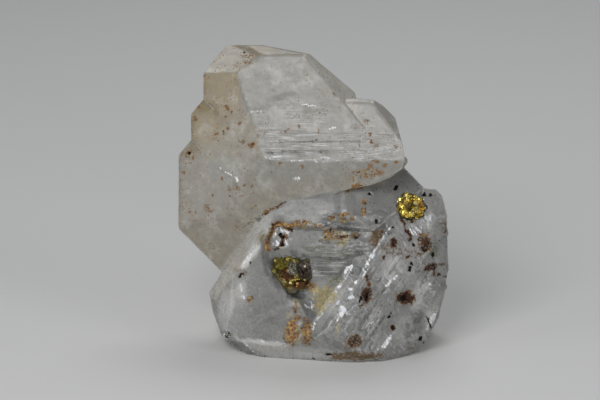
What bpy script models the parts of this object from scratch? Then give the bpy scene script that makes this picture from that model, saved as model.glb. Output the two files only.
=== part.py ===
"""Calcite and chalcopyrite specimen: intergrown calcite crystals that carry three chalcopyrite growths.

The calcite is described square to its display side, and then leans back on its flat base.
Lengths are millimetres in the display frame: x across, y into the piece, z up. Meshes are in metres.
A face is given by the way it looks, in degrees, and a point on it.
Run it with: blender --background --python part.py
"""

import math
import random
from typing import NamedTuple

import bmesh
import bpy
from mathutils import Matrix, Vector

MM = 0.001
CUT_TOLERANCE = 1e-8
LEAN_DEG = 18.0  # how far the display side leans back from upright
GAP = 0.3  # clearance between a chalcopyrite growth and its socket
BLANK = 160.0  # side of the block that each crystal is cut from
MID_DEPTH = 14.0  # depth at which the outline faces stand
BASE_FRONT = 1.6  # depth of the front edge of the flat base

# Upper calcite: a tabular crystal with a level girdle, and two more in parallel growth behind it
FRONT_TURN = -8.0  # the broad faces look a little to the left
UPPER_TILT = 15.0  # the upper broad face looks up
GIRDLE_TILT = 3.0
LOWER_TILT = -9.0
GIRDLE_FOOT = (0.0, 3.0, 44.3)  # the lowest line of the girdle
GIRDLE_HEAD = (0.0, 3.35, 50.4)
PLATE_STEP = Vector((-2.75, 1.3, -9.05))  # each plate is lower, further left and deeper than the last
PLATE_COUNT = 3
PLATE_SINK = 0.28  # how far each plate's broad faces lie below those of the plate before it
BACK_SWELL = 0.4  # how far each plate's back stands out from that of the plate before it
LOW_PLATE_DROP = 10.6  # extra length of the lowest plate's left side
EDGE_ROUNDING = 0.3  # depth of the narrow face along the left edge of the broad faces
FINE_ROUNDING = 0.08  # depth of the two narrower ones beside it

# The parallel crystal on the right: where its faces cross those of the plates, and their turn from them
CREASE_X = 12.0
SIDE_TURN = 3.0

# Girdle striae: fine level ridges
STRIA_COUNT = 13
STRIA_PITCH = 0.46
STRIA_LIFT = 0.35  # height of the first one above the foot of the girdle
STRIA_HEIGHTS = (0.12, 0.24)  # least and most
STRIA_TAPER = 1.5  # length of the tapered ends
STRIA_DEPTH = 1.2  # how far a ridge reaches into the crystal

# Lower calcite: a worn hollow in the middle, and cleavage ledges that climb to the right
FLOOR = (0.0, 3.2, 22.0)
FLOOR_STRIA_COUNT = 8
FLOOR_STRIA_FOOT = 19.0
FLOOR_STRIA_PITCH = 1.0
FLOOR_STRIA_HEIGHTS = (0.18, 0.35)
CORE_BEVEL_INSET = 0.35  # the core's bevels lie this far under those of its blocks
CLEAVAGE_DEG = 55.7
RIDGE_FOOT = (3.0, 7.6)  # x and z of the lower end of the second ridge
LEDGE_SKEW = 38.0  # how far the ends of a ledge turn from square
LEDGE_COUNT = 34
LEDGE_REACH = 19.0  # how far the ledges go, square to their length
LEDGE_WIDTHS = (0.8, 2.2)
LEDGE_LENGTHS = (6.0, 17.0)
LEDGE_FEET = (2.0, 17.0)  # heights of their lower ends
LEDGE_HEIGHTS = (0.06, 0.32)

# Second ridge: for each of its front faces, an x, the depth there, and the slope in depth per x
RIDGE_FRONTS = ((9.0, -0.2, 0.123), (17.0, 0.9, 0.364), (25.0, 4.2, 0.839))

# Plates on the back of the lower crystal
REAR_PLATE_COUNT = 2
REAR_STEP = Vector((-2.6, 0.9, -3.4))
REAR_INSET = 2.6  # how far the first one lies inside the outline
REAR_INSET_STEP = 2.8

# Broken lumps on the right edges: x, y and z, height, and the way each looks
CHIPS = (
    (30.4, 9.0, 28.6, 4.4, 8.0),
    (30.6, 11.0, 20.6, 3.6, -4.0),
    (30.1, 9.5, 16.6, 2.6, 12.0),
    (29.0, 10.0, 32.6, 3.0, 20.0),
    (27.6, 12.0, 9.4, 3.0, -20.0),
    (21.4, 7.0, 44.2, 2.4, 4.0),
)

# Chalcopyrite growths: centre and, for the rounded ones, size across and number of small crystals
LEFT_GROWTH = (-4.4, 3.6, 19.5)
RIGHT_GROWTH = ((22.0, 5.2, 34.1), 6.2, 22)
SMALL_GROWTH = ((-18.3, 7.4, 6.0), 1.1, 3)

# Small crystals on the edges of the left growth: x and z from its centre, and size across
LEFT_GROWTH_EDGE = (
    (-2.9, 2.2, 2.4),
    (2.7, 1.6, 3.0),
    (3.2, -0.4, 2.4),
    (0.2, -2.9, 2.8),
    (2.0, -2.6, 2.2),
    (-0.6, 2.7, 1.9),
)
SPIRAL_TURN = 2.4  # radians between one small crystal of a rounded growth and the next

# Finishes: base colour, roughness and metallic
CALCITE_FINISH = ((0.62, 0.62, 0.60), 0.35, 0.0)
BRIGHT_FINISH = ((0.72, 0.52, 0.13), 0.28, 1.0)
TARNISHED_FINISH = ((0.36, 0.27, 0.14), 0.34, 1.0)


class Plane(NamedTuple):
    """A flat face of a crystal: its outward direction and a point on it."""

    normal: Vector
    point: Vector


def facing(turn, tilt):
    """The direction that is this many degrees to the right of and above straight ahead, which is -y."""
    turn = math.radians(turn)
    tilt = math.radians(tilt)
    level = math.cos(tilt)
    return Vector((math.sin(turn) * level, -math.cos(turn) * level, math.sin(tilt)))


def face(turn, tilt, point):
    """A face that looks to the front or the back."""
    return Plane(facing(turn, tilt), Vector(point))


def side(angle, x, z):
    """A face of the outline, square to the display plane: angle 0 looks right and 90 looks up."""
    angle = math.radians(angle)
    return Plane(Vector((math.cos(angle), 0, math.sin(angle))), Vector((x, MID_DEPTH, z)))


def between(first, second, inset):
    """A narrow face that takes off the edge between two others, this far below the edge."""
    normal = (first.normal + second.normal).normalized()
    along = first.normal.cross(second.normal)
    rows = Matrix((first.normal, second.normal, along))
    edge = rows.inverted() @ Vector((first.normal @ first.point, second.normal @ second.point, 0))
    return Plane(normal, edge - normal * inset)


def moved(planes, step):
    """The same faces, carried by a step."""
    return [Plane(plane.normal, plane.point + Vector(step)) for plane in planes]


def grown(planes, distance):
    """The same faces, each moved out along its own direction."""
    return [Plane(plane.normal, plane.point + plane.normal * distance) for plane in planes]


def crystal_mesh(planes, grow=0.0):
    """A closed convex crystal: a block cut by each face in turn, with the faces moved out by grow."""
    bm = bmesh.new()
    bmesh.ops.create_cube(bm, size=BLANK * MM)
    for plane in planes:
        cut = bmesh.ops.bisect_plane(
            bm,
            geom=bm.verts[:] + bm.edges[:] + bm.faces[:],
            dist=CUT_TOLERANCE,
            plane_co=(plane.point + plane.normal * grow) * MM,
            plane_no=plane.normal,
            clear_outer=True,
        )
        rim = [item for item in cut["geom_cut"] if isinstance(item, bmesh.types.BMEdge)]
        if rim:
            bmesh.ops.edgeloop_fill(bm, edges=rim)
    bmesh.ops.recalc_face_normals(bm, faces=bm.faces[:])
    mesh = bpy.data.meshes.new("crystal")
    bm.to_mesh(mesh)
    bm.free()
    return mesh


class Workshop:
    """Holds the two collections and the frame that every mesh is placed in."""

    def __init__(self):
        self.parts = self.new_collection("calcite_and_chalcopyrite")
        self.cutters = self.new_collection("cutters")
        self.frame = bpy.data.objects.new("display_side", None)
        self.frame.rotation_euler.x = -math.radians(LEAN_DEG)
        self.parts.objects.link(self.frame)

    @staticmethod
    def new_collection(name):
        """An empty collection in the scene."""
        collection = bpy.data.collections.new(name)
        bpy.context.scene.collection.children.link(collection)
        return collection

    def part(self, name, mesh, material):
        """Adds a named sub-part with its material."""
        mesh.materials.append(material)
        obj = bpy.data.objects.new(name, mesh)
        obj.parent = self.frame
        self.parts.objects.link(obj)
        return obj

    def apply(self, target, mesh, operation):
        """Joins a mesh to a sub-part, or cuts it away, with a Boolean."""
        tool = bpy.data.objects.new(f"{target.name}_tool", mesh)
        tool.parent = self.frame
        tool.hide_render = True
        tool.display_type = "WIRE"
        self.cutters.objects.link(tool)
        modifier = target.modifiers.new(tool.name, "BOOLEAN")
        modifier.operation = operation
        modifier.solver = "EXACT"
        modifier.object = tool

    def join(self, target, meshes):
        """Grows meshes onto a sub-part."""
        for mesh in meshes:
            self.apply(target, mesh, "UNION")

    def cut(self, target, meshes):
        """Cuts meshes out of a sub-part."""
        for mesh in meshes:
            self.apply(target, mesh, "DIFFERENCE")


def finish(name, colour, roughness, metallic):
    """A Principled material."""
    material = bpy.data.materials.new(name)
    material.use_nodes = True
    shader = material.node_tree.nodes["Principled BSDF"]
    shader.inputs["Base Color"].default_value = (*colour, 1.0)
    shader.inputs["Roughness"].default_value = roughness
    shader.inputs["Metallic"].default_value = metallic
    return material


def broad_faces():
    """The broad faces: upper, girdle, lower and left, with three narrow ones along the left edge."""
    upper = face(FRONT_TURN, UPPER_TILT, GIRDLE_HEAD)
    girdle = face(FRONT_TURN, GIRDLE_TILT, GIRDLE_FOOT)
    lower = face(FRONT_TURN, LOWER_TILT, GIRDLE_FOOT)
    left = face(-32, 4, (-11.7, 4.8, 46.6))
    middle = between(left, lower, EDGE_ROUNDING)
    outer = between(left, middle, FINE_ROUNDING)
    inner = between(middle, lower, FINE_ROUNDING)
    return [upper, girdle, lower, left, middle, outer, inner]


def plate_outline(step, drop):
    """The outline of one plate of the upper crystal, carried by step, its left side longer by drop."""
    outline = [
        face(-26, 38, (-16.5, 9.3, 64.0)),  # upper left face
        face(FRONT_TURN, 55, (-1.3, 8.2, 67.6)),  # top bevel
        face(43, 40, (-1.3, 8.2, 67.6)),  # right bevel
        side(180, -24.0, 60),
        side(140, -24.0, 63.8),
        side(90, -15.0, 70.1),
        side(78.5, -10.5, 70.0),
        side(49.5, -0.2, 67.9),
        side(15, 9.7, 59.6),
        side(225, -24.0, 58.0 - drop),
        face(180, 12, (-4, 25.0, 45)),
        face(152, 50, (4, 22.0, 62)),
        face(-146, 5, (-17, 25.0, 45)),
        face(-160, 35, (-12, 26.0, 62)),
    ]
    return moved(outline, step)


def plate_meshes():
    """The three plates of the upper crystal, in parallel growth."""
    meshes = []
    for number in range(PLATE_COUNT):
        lowest = number == PLATE_COUNT - 1
        planes = grown(broad_faces(), -PLATE_SINK * number)
        planes += plate_outline(PLATE_STEP * number, LOW_PLATE_DROP if lowest else 0.0)
        backs = [
            face(180, -14, (-4, 25.5, 45)),
            face(148, -6, (3, 25, 45)),
            face(-150, -20, (-12, 27, 30)),
            side(270, 0, 12 if lowest else 20),
        ]
        planes += grown(backs, BACK_SWELL * number)
        if lowest:
            planes += [face(-28, -16, (-24.0, 12.2, 30.1)), side(0, 0, 45)]
        else:
            planes += grown([side(0, 14.5, 45), side(288, 9.0, 38.1)], -PLATE_SINK * number)
        meshes.append(crystal_mesh(planes))
    return meshes


def side_crystal_mesh():
    """The smaller parallel crystal on the right, which meets the plates in a faint crease."""
    crease = Vector((CREASE_X, CREASE_X * math.tan(math.radians(FRONT_TURN)), 0.0))
    turn = FRONT_TURN - SIDE_TURN
    planes = [
        face(turn, UPPER_TILT, Vector(GIRDLE_HEAD) + crease),
        face(turn, GIRDLE_TILT, Vector(GIRDLE_FOOT) + crease),
        face(turn, LOWER_TILT, Vector(GIRDLE_FOOT) + crease),
        face(45, 39, (15.0, 2.2, 54.8)),
        face(FRONT_TURN, 58, (12.0, 3.2, 56.9)),
        side(86, 11.0, 58.0),
        side(60, 14.6, 57.3),
        side(45, 16.8, 55.6),
        side(14, 19.1, 52.0),
        side(8, 20.2, 47.5),
        side(-20, 20.4, 43.6),
        side(-52, 18.6, 41.4),
        side(-68, 15.2, 39.5),
        side(-80, 9.0, 38.1),
        side(180, 0, 45),
        face(148, -6, (18, 19.5, 45)),
        face(172, 24, (14, 20, 52)),
        face(176, -30, (12, 20, 42)),
    ]
    return crystal_mesh(planes)


def stria_planes(crest, start, end, turn, upper_tilt=62, lower_tilt=-50):
    """The faces of one fine ridge, a low roof that tapers to its ends."""
    x, y, z = crest
    slope = math.tan(math.radians(turn))
    taper_start = start + STRIA_TAPER
    taper_end = end - STRIA_TAPER
    return [
        face(turn, upper_tilt, crest),
        face(turn, lower_tilt, crest),
        side(180, start, z),
        side(0, end, z),
        face(turn + 180, 0, (x, y + STRIA_DEPTH, z)),
        face(-50, 0, (taper_start, y + slope * (taper_start - x), z)),
        face(40, 0, (taper_end, y + slope * (taper_end - x), z)),
    ]


def girdle_stria_meshes():
    """Fine level ridges along the girdle, on the plates and on the side crystal."""
    rng = random.Random(11)
    crease_y = GIRDLE_FOOT[1] + CREASE_X * math.tan(math.radians(FRONT_TURN))
    runs = (
        (0.0, GIRDLE_FOOT[1], -11.6, 13.5, FRONT_TURN),
        (CREASE_X, crease_y, 11.0, 19.7, FRONT_TURN - SIDE_TURN),
    )
    meshes = []
    for number in range(STRIA_COUNT):
        for x, y, first, last, turn in runs:
            z = GIRDLE_FOOT[2] + STRIA_LIFT + number * STRIA_PITCH + rng.uniform(-0.08, 0.08)
            start = first + (0 if number % 3 == 0 else rng.uniform(0, 0.3) * (last - first))
            end = last - (0 if number % 4 == 0 else rng.uniform(0, 0.4) * (last - first))
            sink = math.tan(math.radians(GIRDLE_TILT)) * (z - GIRDLE_FOOT[2])
            crest = (x, y + sink - rng.uniform(*STRIA_HEIGHTS), z)
            meshes.append(crystal_mesh(stria_planes(crest, start, end, turn)))
    return meshes


def hollow_stria_meshes():
    """Fine level steps on the floor of the worn hollow."""
    rng = random.Random(4)
    meshes = []
    for number in range(FLOOR_STRIA_COUNT):
        z = FLOOR_STRIA_FOOT + number * FLOOR_STRIA_PITCH + rng.uniform(-0.2, 0.2)
        start = rng.uniform(-2.0, 3.5)
        end = 9.5 + 0.55 * (z - FLOOR_STRIA_FOOT) + rng.uniform(-1.5, 1.0)
        crest = (0, FLOOR[1] - rng.uniform(*FLOOR_STRIA_HEIGHTS), z)
        meshes.append(crystal_mesh(stria_planes(crest, start, end, FRONT_TURN, 40, -62)))
    return meshes


def lower_outline(inset=0.0):
    """The outline faces of the lower crystal, drawn in by inset."""
    faces = [
        side(44, 22.8, 40.7),
        side(16, 29.6, 34.4),
        side(1, 30.3, 27.0),
        side(-6, 30.2, 20.0),
        side(-15, 29.2, 13.2),
        side(-28, 27.4, 8.0),
        side(-44, 25.2, 4.0),
        side(-64, 22.0, 1.6),
        side(-83, 17.0, 0.6),
        side(254, -11.4, 1.0),
        side(234, -17.4, 3.8),
        side(200, -20.8, 8.2),
        side(193, -22.2, 13.0),
        side(147, -20.6, 18.4),
        side(122, -10.0, 32.6),
    ]
    return grown(faces, -inset)


def lower_bevels(inset=0.0):
    """The rim and the bottom bevels that every block of the lower crystal shares."""
    faces = [
        face(-45, 25, (-14.3, 4.0, 22.4)),  # bright left rim
        face(-60, 2, (-20.6, 9.6, 12.4)),  # narrow left face
        face(-12.3, -26, (8.8, -0.2, 2.7)),  # bottom bevels, left to right
        face(7, -36, (9.0, -0.2, 1.6)),
        face(24, -8, (20.0, 2.2, 9.0)),
        face(34, -22, (22.4, 3.6, 5.4)),
        face(44, -38, (24.0, 6.0, 3.2)),
        face(-34, -42, (-15.5, 4.6, 4.0)),
        face(-24, -12, (-13.5, 4.0, 7.0)),
        face(66, 0, (29.0, 8.4, 20.0)),
    ]
    return grown(faces, -inset)


def lower_core():
    """The body of the lower crystal, whose front is the floor of the worn hollow."""
    return lower_outline() + lower_bevels(CORE_BEVEL_INSET) + [
        face(FRONT_TURN, -2, FLOOR),
        face(22, 4, (17.0, 2.0, 20.0)),
        face(44, 2, (25.0, 5.4, 20.0)),
        face(-12, 24, (0.0, 2.2, 30.2)),
        face(14, 28, (19.0, 2.0, 28.5)),
        side(90, 0, 43.6),
        side(104, 0.0, 38.0),
        face(180, 8, (0, 28.8, 20)),
        face(146, 2, (20, 25.5, 20)),
        face(-140, 0, (-13, 24.5, 18)),
        face(160, 40, (10, 27.5, 34)),
        face(-160, 42, (-6, 27, 32)),
    ]


def lower_blocks():
    """The blocks that stand on the core: brow, rim, left front, first and second ridge, and right lobe.

    No two of them share a plane, so that the surfaces they join along are never flush.
    """
    front = face(-9, -1, (-14.3, 4.0, 22.4))
    ridge_wall = -45, 26
    brow = [
        face(-12, 24, (0.0, 1.75, 30.2)),
        face(5, 26, (7.0, 0.8, 30.4)),
        face(-10, -50, (0.0, 1.75, 29.9)),
        face(34, -10, (15.0, 1.2, 31.0)),
        side(104, 0.0, 37.6),
    ]
    rim = [
        *grown([front], 0.09),
        face(39, 8, (-9.0, 3.2, 22.1)),
        face(20, 40, (-8.0, 3.0, 29.6)),
        side(128, -10.0, 32.2),
    ]
    left_front = [front, face(32, 34, (-5.5, 2.6, 15.5)), face(42, 18, (-1.0, 2.0, 9.2))]
    first_ridge = [
        face(*ridge_wall, (4.0, 0.5, 14.5)),
        face(2, 0, (5.0, 0.45, 14.0)),
        side(57, 9.3, 21.6),
    ]
    second_ridge = [
        face(*ridge_wall, (9.4, -0.15, 17.2)),
        face(7, 0, (9.0, -0.2, 18.0)),
        face(20, 3, (17.0, 0.9, 20.0)),
        face(40, 2, (25.0, 4.2, 20.0)),
        face(14, 26, (19.0, 1.4, 28.5)),
    ]
    lobe = [
        side(84, 26.2, 38.2),
        side(46, 28.6, 37.0),
        side(14, 29.5, 34.4),
        side(-6, 29.9, 30.6),
        side(-52, 27.6, 26.4),
        face(16, 14, (27.0, 5.0, 33.0)),
        face(-50, 6, (24.4, 5.0, 33.0)),
        face(18, -22, (27.0, 5.0, 31.0)),
        face(146, 30, (27.0, 16.0, 35.0)),
        face(168, 4, (27.0, 17.0, 33.0)),
        side(180, 20.0, 33),
    ]
    meshes = []
    for number, block in enumerate((brow, rim, left_front, first_ridge, second_ridge)):
        shared = lower_outline(0.1 + 0.12 * number) + lower_bevels(0.04 * number)
        hidden = [face(180, 0, (0, 11.0 + 0.5 * number, 20)), side(270, 0, -2.0 - 0.1 * number)]
        meshes.append(crystal_mesh(shared + block + hidden))
    meshes.append(crystal_mesh(lobe))
    return meshes


def ridge_depth(x):
    """How deep the front of the second ridge lies at this x."""
    return max(depth + slope * (x - start) for start, depth, slope in RIDGE_FRONTS)


def ledge_meshes():
    """Cleavage ledges: long low prisms that climb to the right across the right front."""
    rng = random.Random(5)
    angle = math.radians(CLEAVAGE_DEG)
    meshes = []
    for number in range(LEDGE_COUNT):
        across = LEDGE_REACH * (number + 0.6) / LEDGE_COUNT + rng.uniform(-0.3, 0.3)
        width = rng.uniform(*LEDGE_WIDTHS)
        x = RIDGE_FOOT[0] + across * math.sin(angle)
        z = RIDGE_FOOT[1] - across * math.cos(angle)
        low_end = (rng.uniform(*LEDGE_FEET) - z) / math.sin(angle) - 0.2 * across
        high_end = low_end + rng.uniform(*LEDGE_LENGTHS)
        skew = rng.choice((-LEDGE_SKEW, LEDGE_SKEW))
        middle = (low_end + high_end) / 2
        x_middle = x + middle * math.cos(angle)
        z_middle = z + middle * math.sin(angle)
        point = (x_middle, ridge_depth(x_middle) - rng.uniform(*LEDGE_HEIGHTS), z_middle)
        slope = RIDGE_FRONTS[0][2] + 0.03 * max(x_middle - 10, 0)
        turn = math.degrees(math.atan(slope)) + rng.uniform(-5, 2)
        low_x = x + low_end * math.cos(angle)
        low_z = z + low_end * math.sin(angle)
        high_x = x + high_end * math.cos(angle)
        high_z = z + high_end * math.sin(angle)
        planes = lower_outline(rng.uniform(0.3, 0.8)) + lower_bevels(rng.uniform(0.25, 0.4)) + [
            side(CLEAVAGE_DEG + 90, x, z),
            side(CLEAVAGE_DEG - 90, x + width * math.sin(angle), z - width * math.cos(angle)),
            side(CLEAVAGE_DEG + 180 + skew, low_x, low_z),
            side(CLEAVAGE_DEG + skew, high_x, high_z),
            face(turn, rng.uniform(-4, 4), point),
            face(14, 26, (19.0, rng.uniform(1.0, 1.3), 28.5)),
            face(180, 0, (0, rng.uniform(13, 16), 20)),
        ]
        meshes.append(crystal_mesh(planes))
    return meshes


def chip_meshes():
    """Small broken lumps on the right edges."""
    meshes = []
    for x, y, z, size, lean in CHIPS:
        meshes.append(
            crystal_mesh(
                [
                    side(lean, x, z),
                    side(lean + 44, x - 0.1 * size, z + 0.3 * size),
                    side(lean - 40, x - 0.1 * size, z - 0.32 * size),
                    side(lean + 82, x, z + 0.48 * size),
                    side(lean - 78, x, z - 0.5 * size),
                    side(180, x - 3.4, z),
                    face(42 + lean, 16, (x - 1.0, y, z)),
                    face(34 - lean, -22, (x - 1.0, y + 0.2, z)),
                    face(138 + lean, -6, (x - 0.9, y + 2.2 * size, z)),
                ]
            )
        )
    return meshes


def rear_meshes():
    """Two plates in parallel growth on the back of the lower crystal."""
    meshes = []
    for number in range(REAR_PLATE_COUNT):
        planes = lower_outline(REAR_INSET + REAR_INSET_STEP * number)
        outline = [
            side(150, -17.0, 16.4),
            side(112, -2.0, 31.0),
            side(82, 8.0, 32.0),
            side(34, 21.0, 25.0),
            side(-12, 25.0, 12.0),
            face(178, 7, (0, 29.6, 20)),
        ]
        planes += moved(outline, REAR_STEP * number)
        planes += [face(0, 0, (0, 20.0 + number, 20))]
        meshes.append(crystal_mesh(planes))
    return meshes


def cut_base(workshop, calcite):
    """Cuts the flat base, level when the piece stands."""
    bm = bmesh.new()
    bmesh.ops.create_cube(bm, size=BLANK * MM)
    bmesh.ops.translate(bm, vec=(0, 0, -BLANK / 2 * MM), verts=bm.verts[:])
    turn = Matrix.Rotation(math.radians(LEAN_DEG), 4, "X")
    place = Matrix.Translation((0, BASE_FRONT * MM, 0))
    bmesh.ops.transform(bm, matrix=place @ turn, verts=bm.verts[:])
    mesh = bpy.data.meshes.new("base")
    bm.to_mesh(mesh)
    bm.free()
    workshop.cut(calcite, [mesh])


def disphenoid(centre, size, spin):
    """The faces of a four-sided crystal with blunt corners: size is its full width."""
    corners = [Vector(c).normalized() for c in ((1, 1, 1), (1, -1, -1), (-1, 1, -1), (-1, -1, 1))]
    planes = []
    for corner in corners:
        normal = spin @ corner
        planes.append(Plane(normal, Vector(centre) + normal * size * 0.30))
        planes.append(Plane(-normal, Vector(centre) - normal * size * 0.50))
    return planes


def left_growth():
    """The large tarnished crystal, wedge-shaped to the left, with small crystals on its edges."""
    x, y, z = LEFT_GROWTH
    main = [
        face(-48, 30, (x - 2.2, y - 1.2, z + 1.6)),  # bright upper left
        face(-30, -34, (x - 1.4, y - 1.6, z - 1.2)),
        face(10, 8, (x + 0.6, y - 3.0, z + 0.4)),  # broad front
        face(46, 12, (x + 2.4, y - 1.8, z + 0.4)),
        face(22, -44, (x + 1.2, y - 1.7, z - 2.1)),
        side(94, x - 1.0, z + 3.0),
        side(58, x + 2.6, z + 2.3),
        side(8, x + 4.1, z),
        side(-40, x + 2.9, z - 2.2),
        side(-84, x + 0.6, z - 3.5),
        side(218, x - 1.8, z - 2.2),
        side(172, x - 4.1, z + 2.0),
        face(180, 0, (x, y + 2.4, z)),
    ]
    crystals = [main]
    rng = random.Random(3)
    for dx, dz, size in LEFT_GROWTH_EDGE:
        place = (x + dx, y - 0.7 - rng.uniform(0.0, 0.6), z + dz)
        axis = Vector([rng.uniform(-1, 1) for _ in range(3)])
        crystals.append(disphenoid(place, size, Matrix.Rotation(rng.uniform(0, math.pi), 3, axis)))
    return crystals


def druse(centre, size, count, seed):
    """A rounded crust of small crystals, all grown into one in the middle."""
    rng = random.Random(seed)
    crystals = [disphenoid(centre, size * 0.95, Matrix.Rotation(math.radians(25), 3, "X"))]
    for number in range(count):
        angle = SPIRAL_TURN * number
        reach = size * 0.36 * math.sqrt((number + 0.5) / count)
        rise = size * 0.30 * (1 - (reach / (size * 0.5)) ** 2)
        place = Vector(centre) + Vector((math.cos(angle) * reach, -rise, math.sin(angle) * reach))
        axis = Vector([rng.uniform(-1, 1) for _ in range(3)])
        spin = Matrix.Rotation(rng.uniform(0, math.pi), 3, axis)
        crystals.append(disphenoid(place, size * rng.uniform(0.26, 0.4), spin))
    return crystals


def add_growth(workshop, calcite, name, crystals, material):
    """Makes one chalcopyrite growth and cuts its socket, which clears every crystal by the gap."""
    obj = workshop.part(name, crystal_mesh(crystals[0]), material)
    workshop.join(obj, [crystal_mesh(planes) for planes in crystals[1:]])
    workshop.cut(calcite, [crystal_mesh(planes, GAP) for planes in crystals])


def stand_on_base(workshop, calcite):
    """Moves the piece so that the middle of the bottom of its box is the origin."""
    bpy.context.view_layer.update()
    graph = bpy.context.evaluated_depsgraph_get()
    corners = []
    for obj in workshop.parts.objects:
        if obj.type == "MESH":
            shape = obj.evaluated_get(graph)
            corners += [shape.matrix_world @ vertex.co for vertex in shape.data.vertices]
    low = Vector([min(corner[axis] for corner in corners) for axis in range(3)])
    high = Vector([max(corner[axis] for corner in corners) for axis in range(3)])
    middle = (low + high) / 2
    workshop.frame.location = (-middle.x, -middle.y, -low.z)


def main():
    """Builds the specimen."""
    for obj in list(bpy.data.objects):
        bpy.data.objects.remove(obj)
    workshop = Workshop()
    calcite_finish = finish("calcite", *CALCITE_FINISH)
    bright_finish = finish("chalcopyrite_bright", *BRIGHT_FINISH)
    tarnished_finish = finish("chalcopyrite_tarnished", *TARNISHED_FINISH)

    calcite = workshop.part("calcite_crystals", crystal_mesh(lower_core()), calcite_finish)
    workshop.join(calcite, rear_meshes())
    workshop.join(calcite, plate_meshes())
    workshop.join(calcite, [side_crystal_mesh()])
    workshop.join(calcite, girdle_stria_meshes())
    workshop.join(calcite, lower_blocks())
    workshop.join(calcite, hollow_stria_meshes())
    workshop.join(calcite, ledge_meshes())
    workshop.join(calcite, chip_meshes())
    cut_base(workshop, calcite)

    add_growth(workshop, calcite, "chalcopyrite_crystal", left_growth(), tarnished_finish)
    cluster = druse(*RIGHT_GROWTH, seed=8)
    add_growth(workshop, calcite, "chalcopyrite_cluster", cluster, bright_finish)
    small_crystal = druse(*SMALL_GROWTH, seed=2)
    add_growth(workshop, calcite, "chalcopyrite_small_crystal", small_crystal, bright_finish)
    stand_on_base(workshop, calcite)


main()
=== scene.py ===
"""Visual model of a calcite and chalcopyrite specimen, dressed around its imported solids.

Places on the specimen are in millimetres on its display side: x to the right, y into the piece, and z up
along the leaning side. DisplaySide turns them into the shared frame, which is in metres.
"""

import itertools
import logging
import math
from collections.abc import Iterator
from dataclasses import dataclass, field
from enum import Enum, IntEnum

import bmesh
import bpy
import numpy as np
from mathutils import Matrix, Vector, geometry, kdtree
from mathutils.bvhtree import BVHTree


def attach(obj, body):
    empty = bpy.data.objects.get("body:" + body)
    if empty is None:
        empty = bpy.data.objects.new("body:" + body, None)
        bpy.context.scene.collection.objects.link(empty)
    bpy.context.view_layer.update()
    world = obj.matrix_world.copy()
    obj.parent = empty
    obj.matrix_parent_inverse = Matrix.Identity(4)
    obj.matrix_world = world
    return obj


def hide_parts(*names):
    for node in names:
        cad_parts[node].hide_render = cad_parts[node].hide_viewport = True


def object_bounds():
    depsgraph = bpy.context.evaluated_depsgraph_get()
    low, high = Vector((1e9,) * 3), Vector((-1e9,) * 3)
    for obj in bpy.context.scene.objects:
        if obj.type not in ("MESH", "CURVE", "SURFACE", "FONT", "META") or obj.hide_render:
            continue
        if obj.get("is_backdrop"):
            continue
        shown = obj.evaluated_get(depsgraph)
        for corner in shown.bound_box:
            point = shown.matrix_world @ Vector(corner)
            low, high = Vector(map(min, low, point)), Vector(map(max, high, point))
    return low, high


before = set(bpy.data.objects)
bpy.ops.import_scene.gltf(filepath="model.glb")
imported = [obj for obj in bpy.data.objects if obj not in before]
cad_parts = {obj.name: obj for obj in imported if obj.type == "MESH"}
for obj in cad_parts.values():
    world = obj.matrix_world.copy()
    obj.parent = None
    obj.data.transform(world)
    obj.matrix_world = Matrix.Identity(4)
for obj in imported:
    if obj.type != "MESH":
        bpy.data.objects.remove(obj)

LOG = logging.getLogger("specimen")
MM = 0.001
CAD_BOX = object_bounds()
CLEAVAGE_DEG = 55.7

Points = np.ndarray
Values = np.ndarray
Outline = tuple[tuple[float, float], ...]
Triple = tuple[float, float, float]
Colour = tuple[float, float, float]
Socket = bpy.types.NodeSocket
Input = Socket | float | Colour


@dataclass(frozen=True)
class DisplaySide:
    """The leaning display side, as a frame of millimetres."""

    lean_deg: float = 18.0
    origin_mm: Triple = (-0.57101, -20.45813, 0.49443)

    def matrix(self) -> Matrix:
        """The turn and shift from this frame to the shared one, in metres, without a change of scale."""
        turn = Matrix.Rotation(-math.radians(self.lean_deg), 4, "X")
        return Matrix.Translation(Vector(self.origin_mm) * MM) @ turn

    def turn(self) -> np.ndarray:
        """The turn alone, as three rows of three."""
        return np.array(self.matrix().to_3x3())

    def to_row(self, points: Points) -> Points:
        """Carries points from millimetres on the display side to metres in the shared frame."""
        return points @ self.turn().T * MM + np.array(self.origin_mm) * MM

    def from_row(self, points: Points) -> Points:
        """Carries points from metres in the shared frame to millimetres on the display side."""
        return (points / MM - np.array(self.origin_mm)) @ self.turn()


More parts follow.
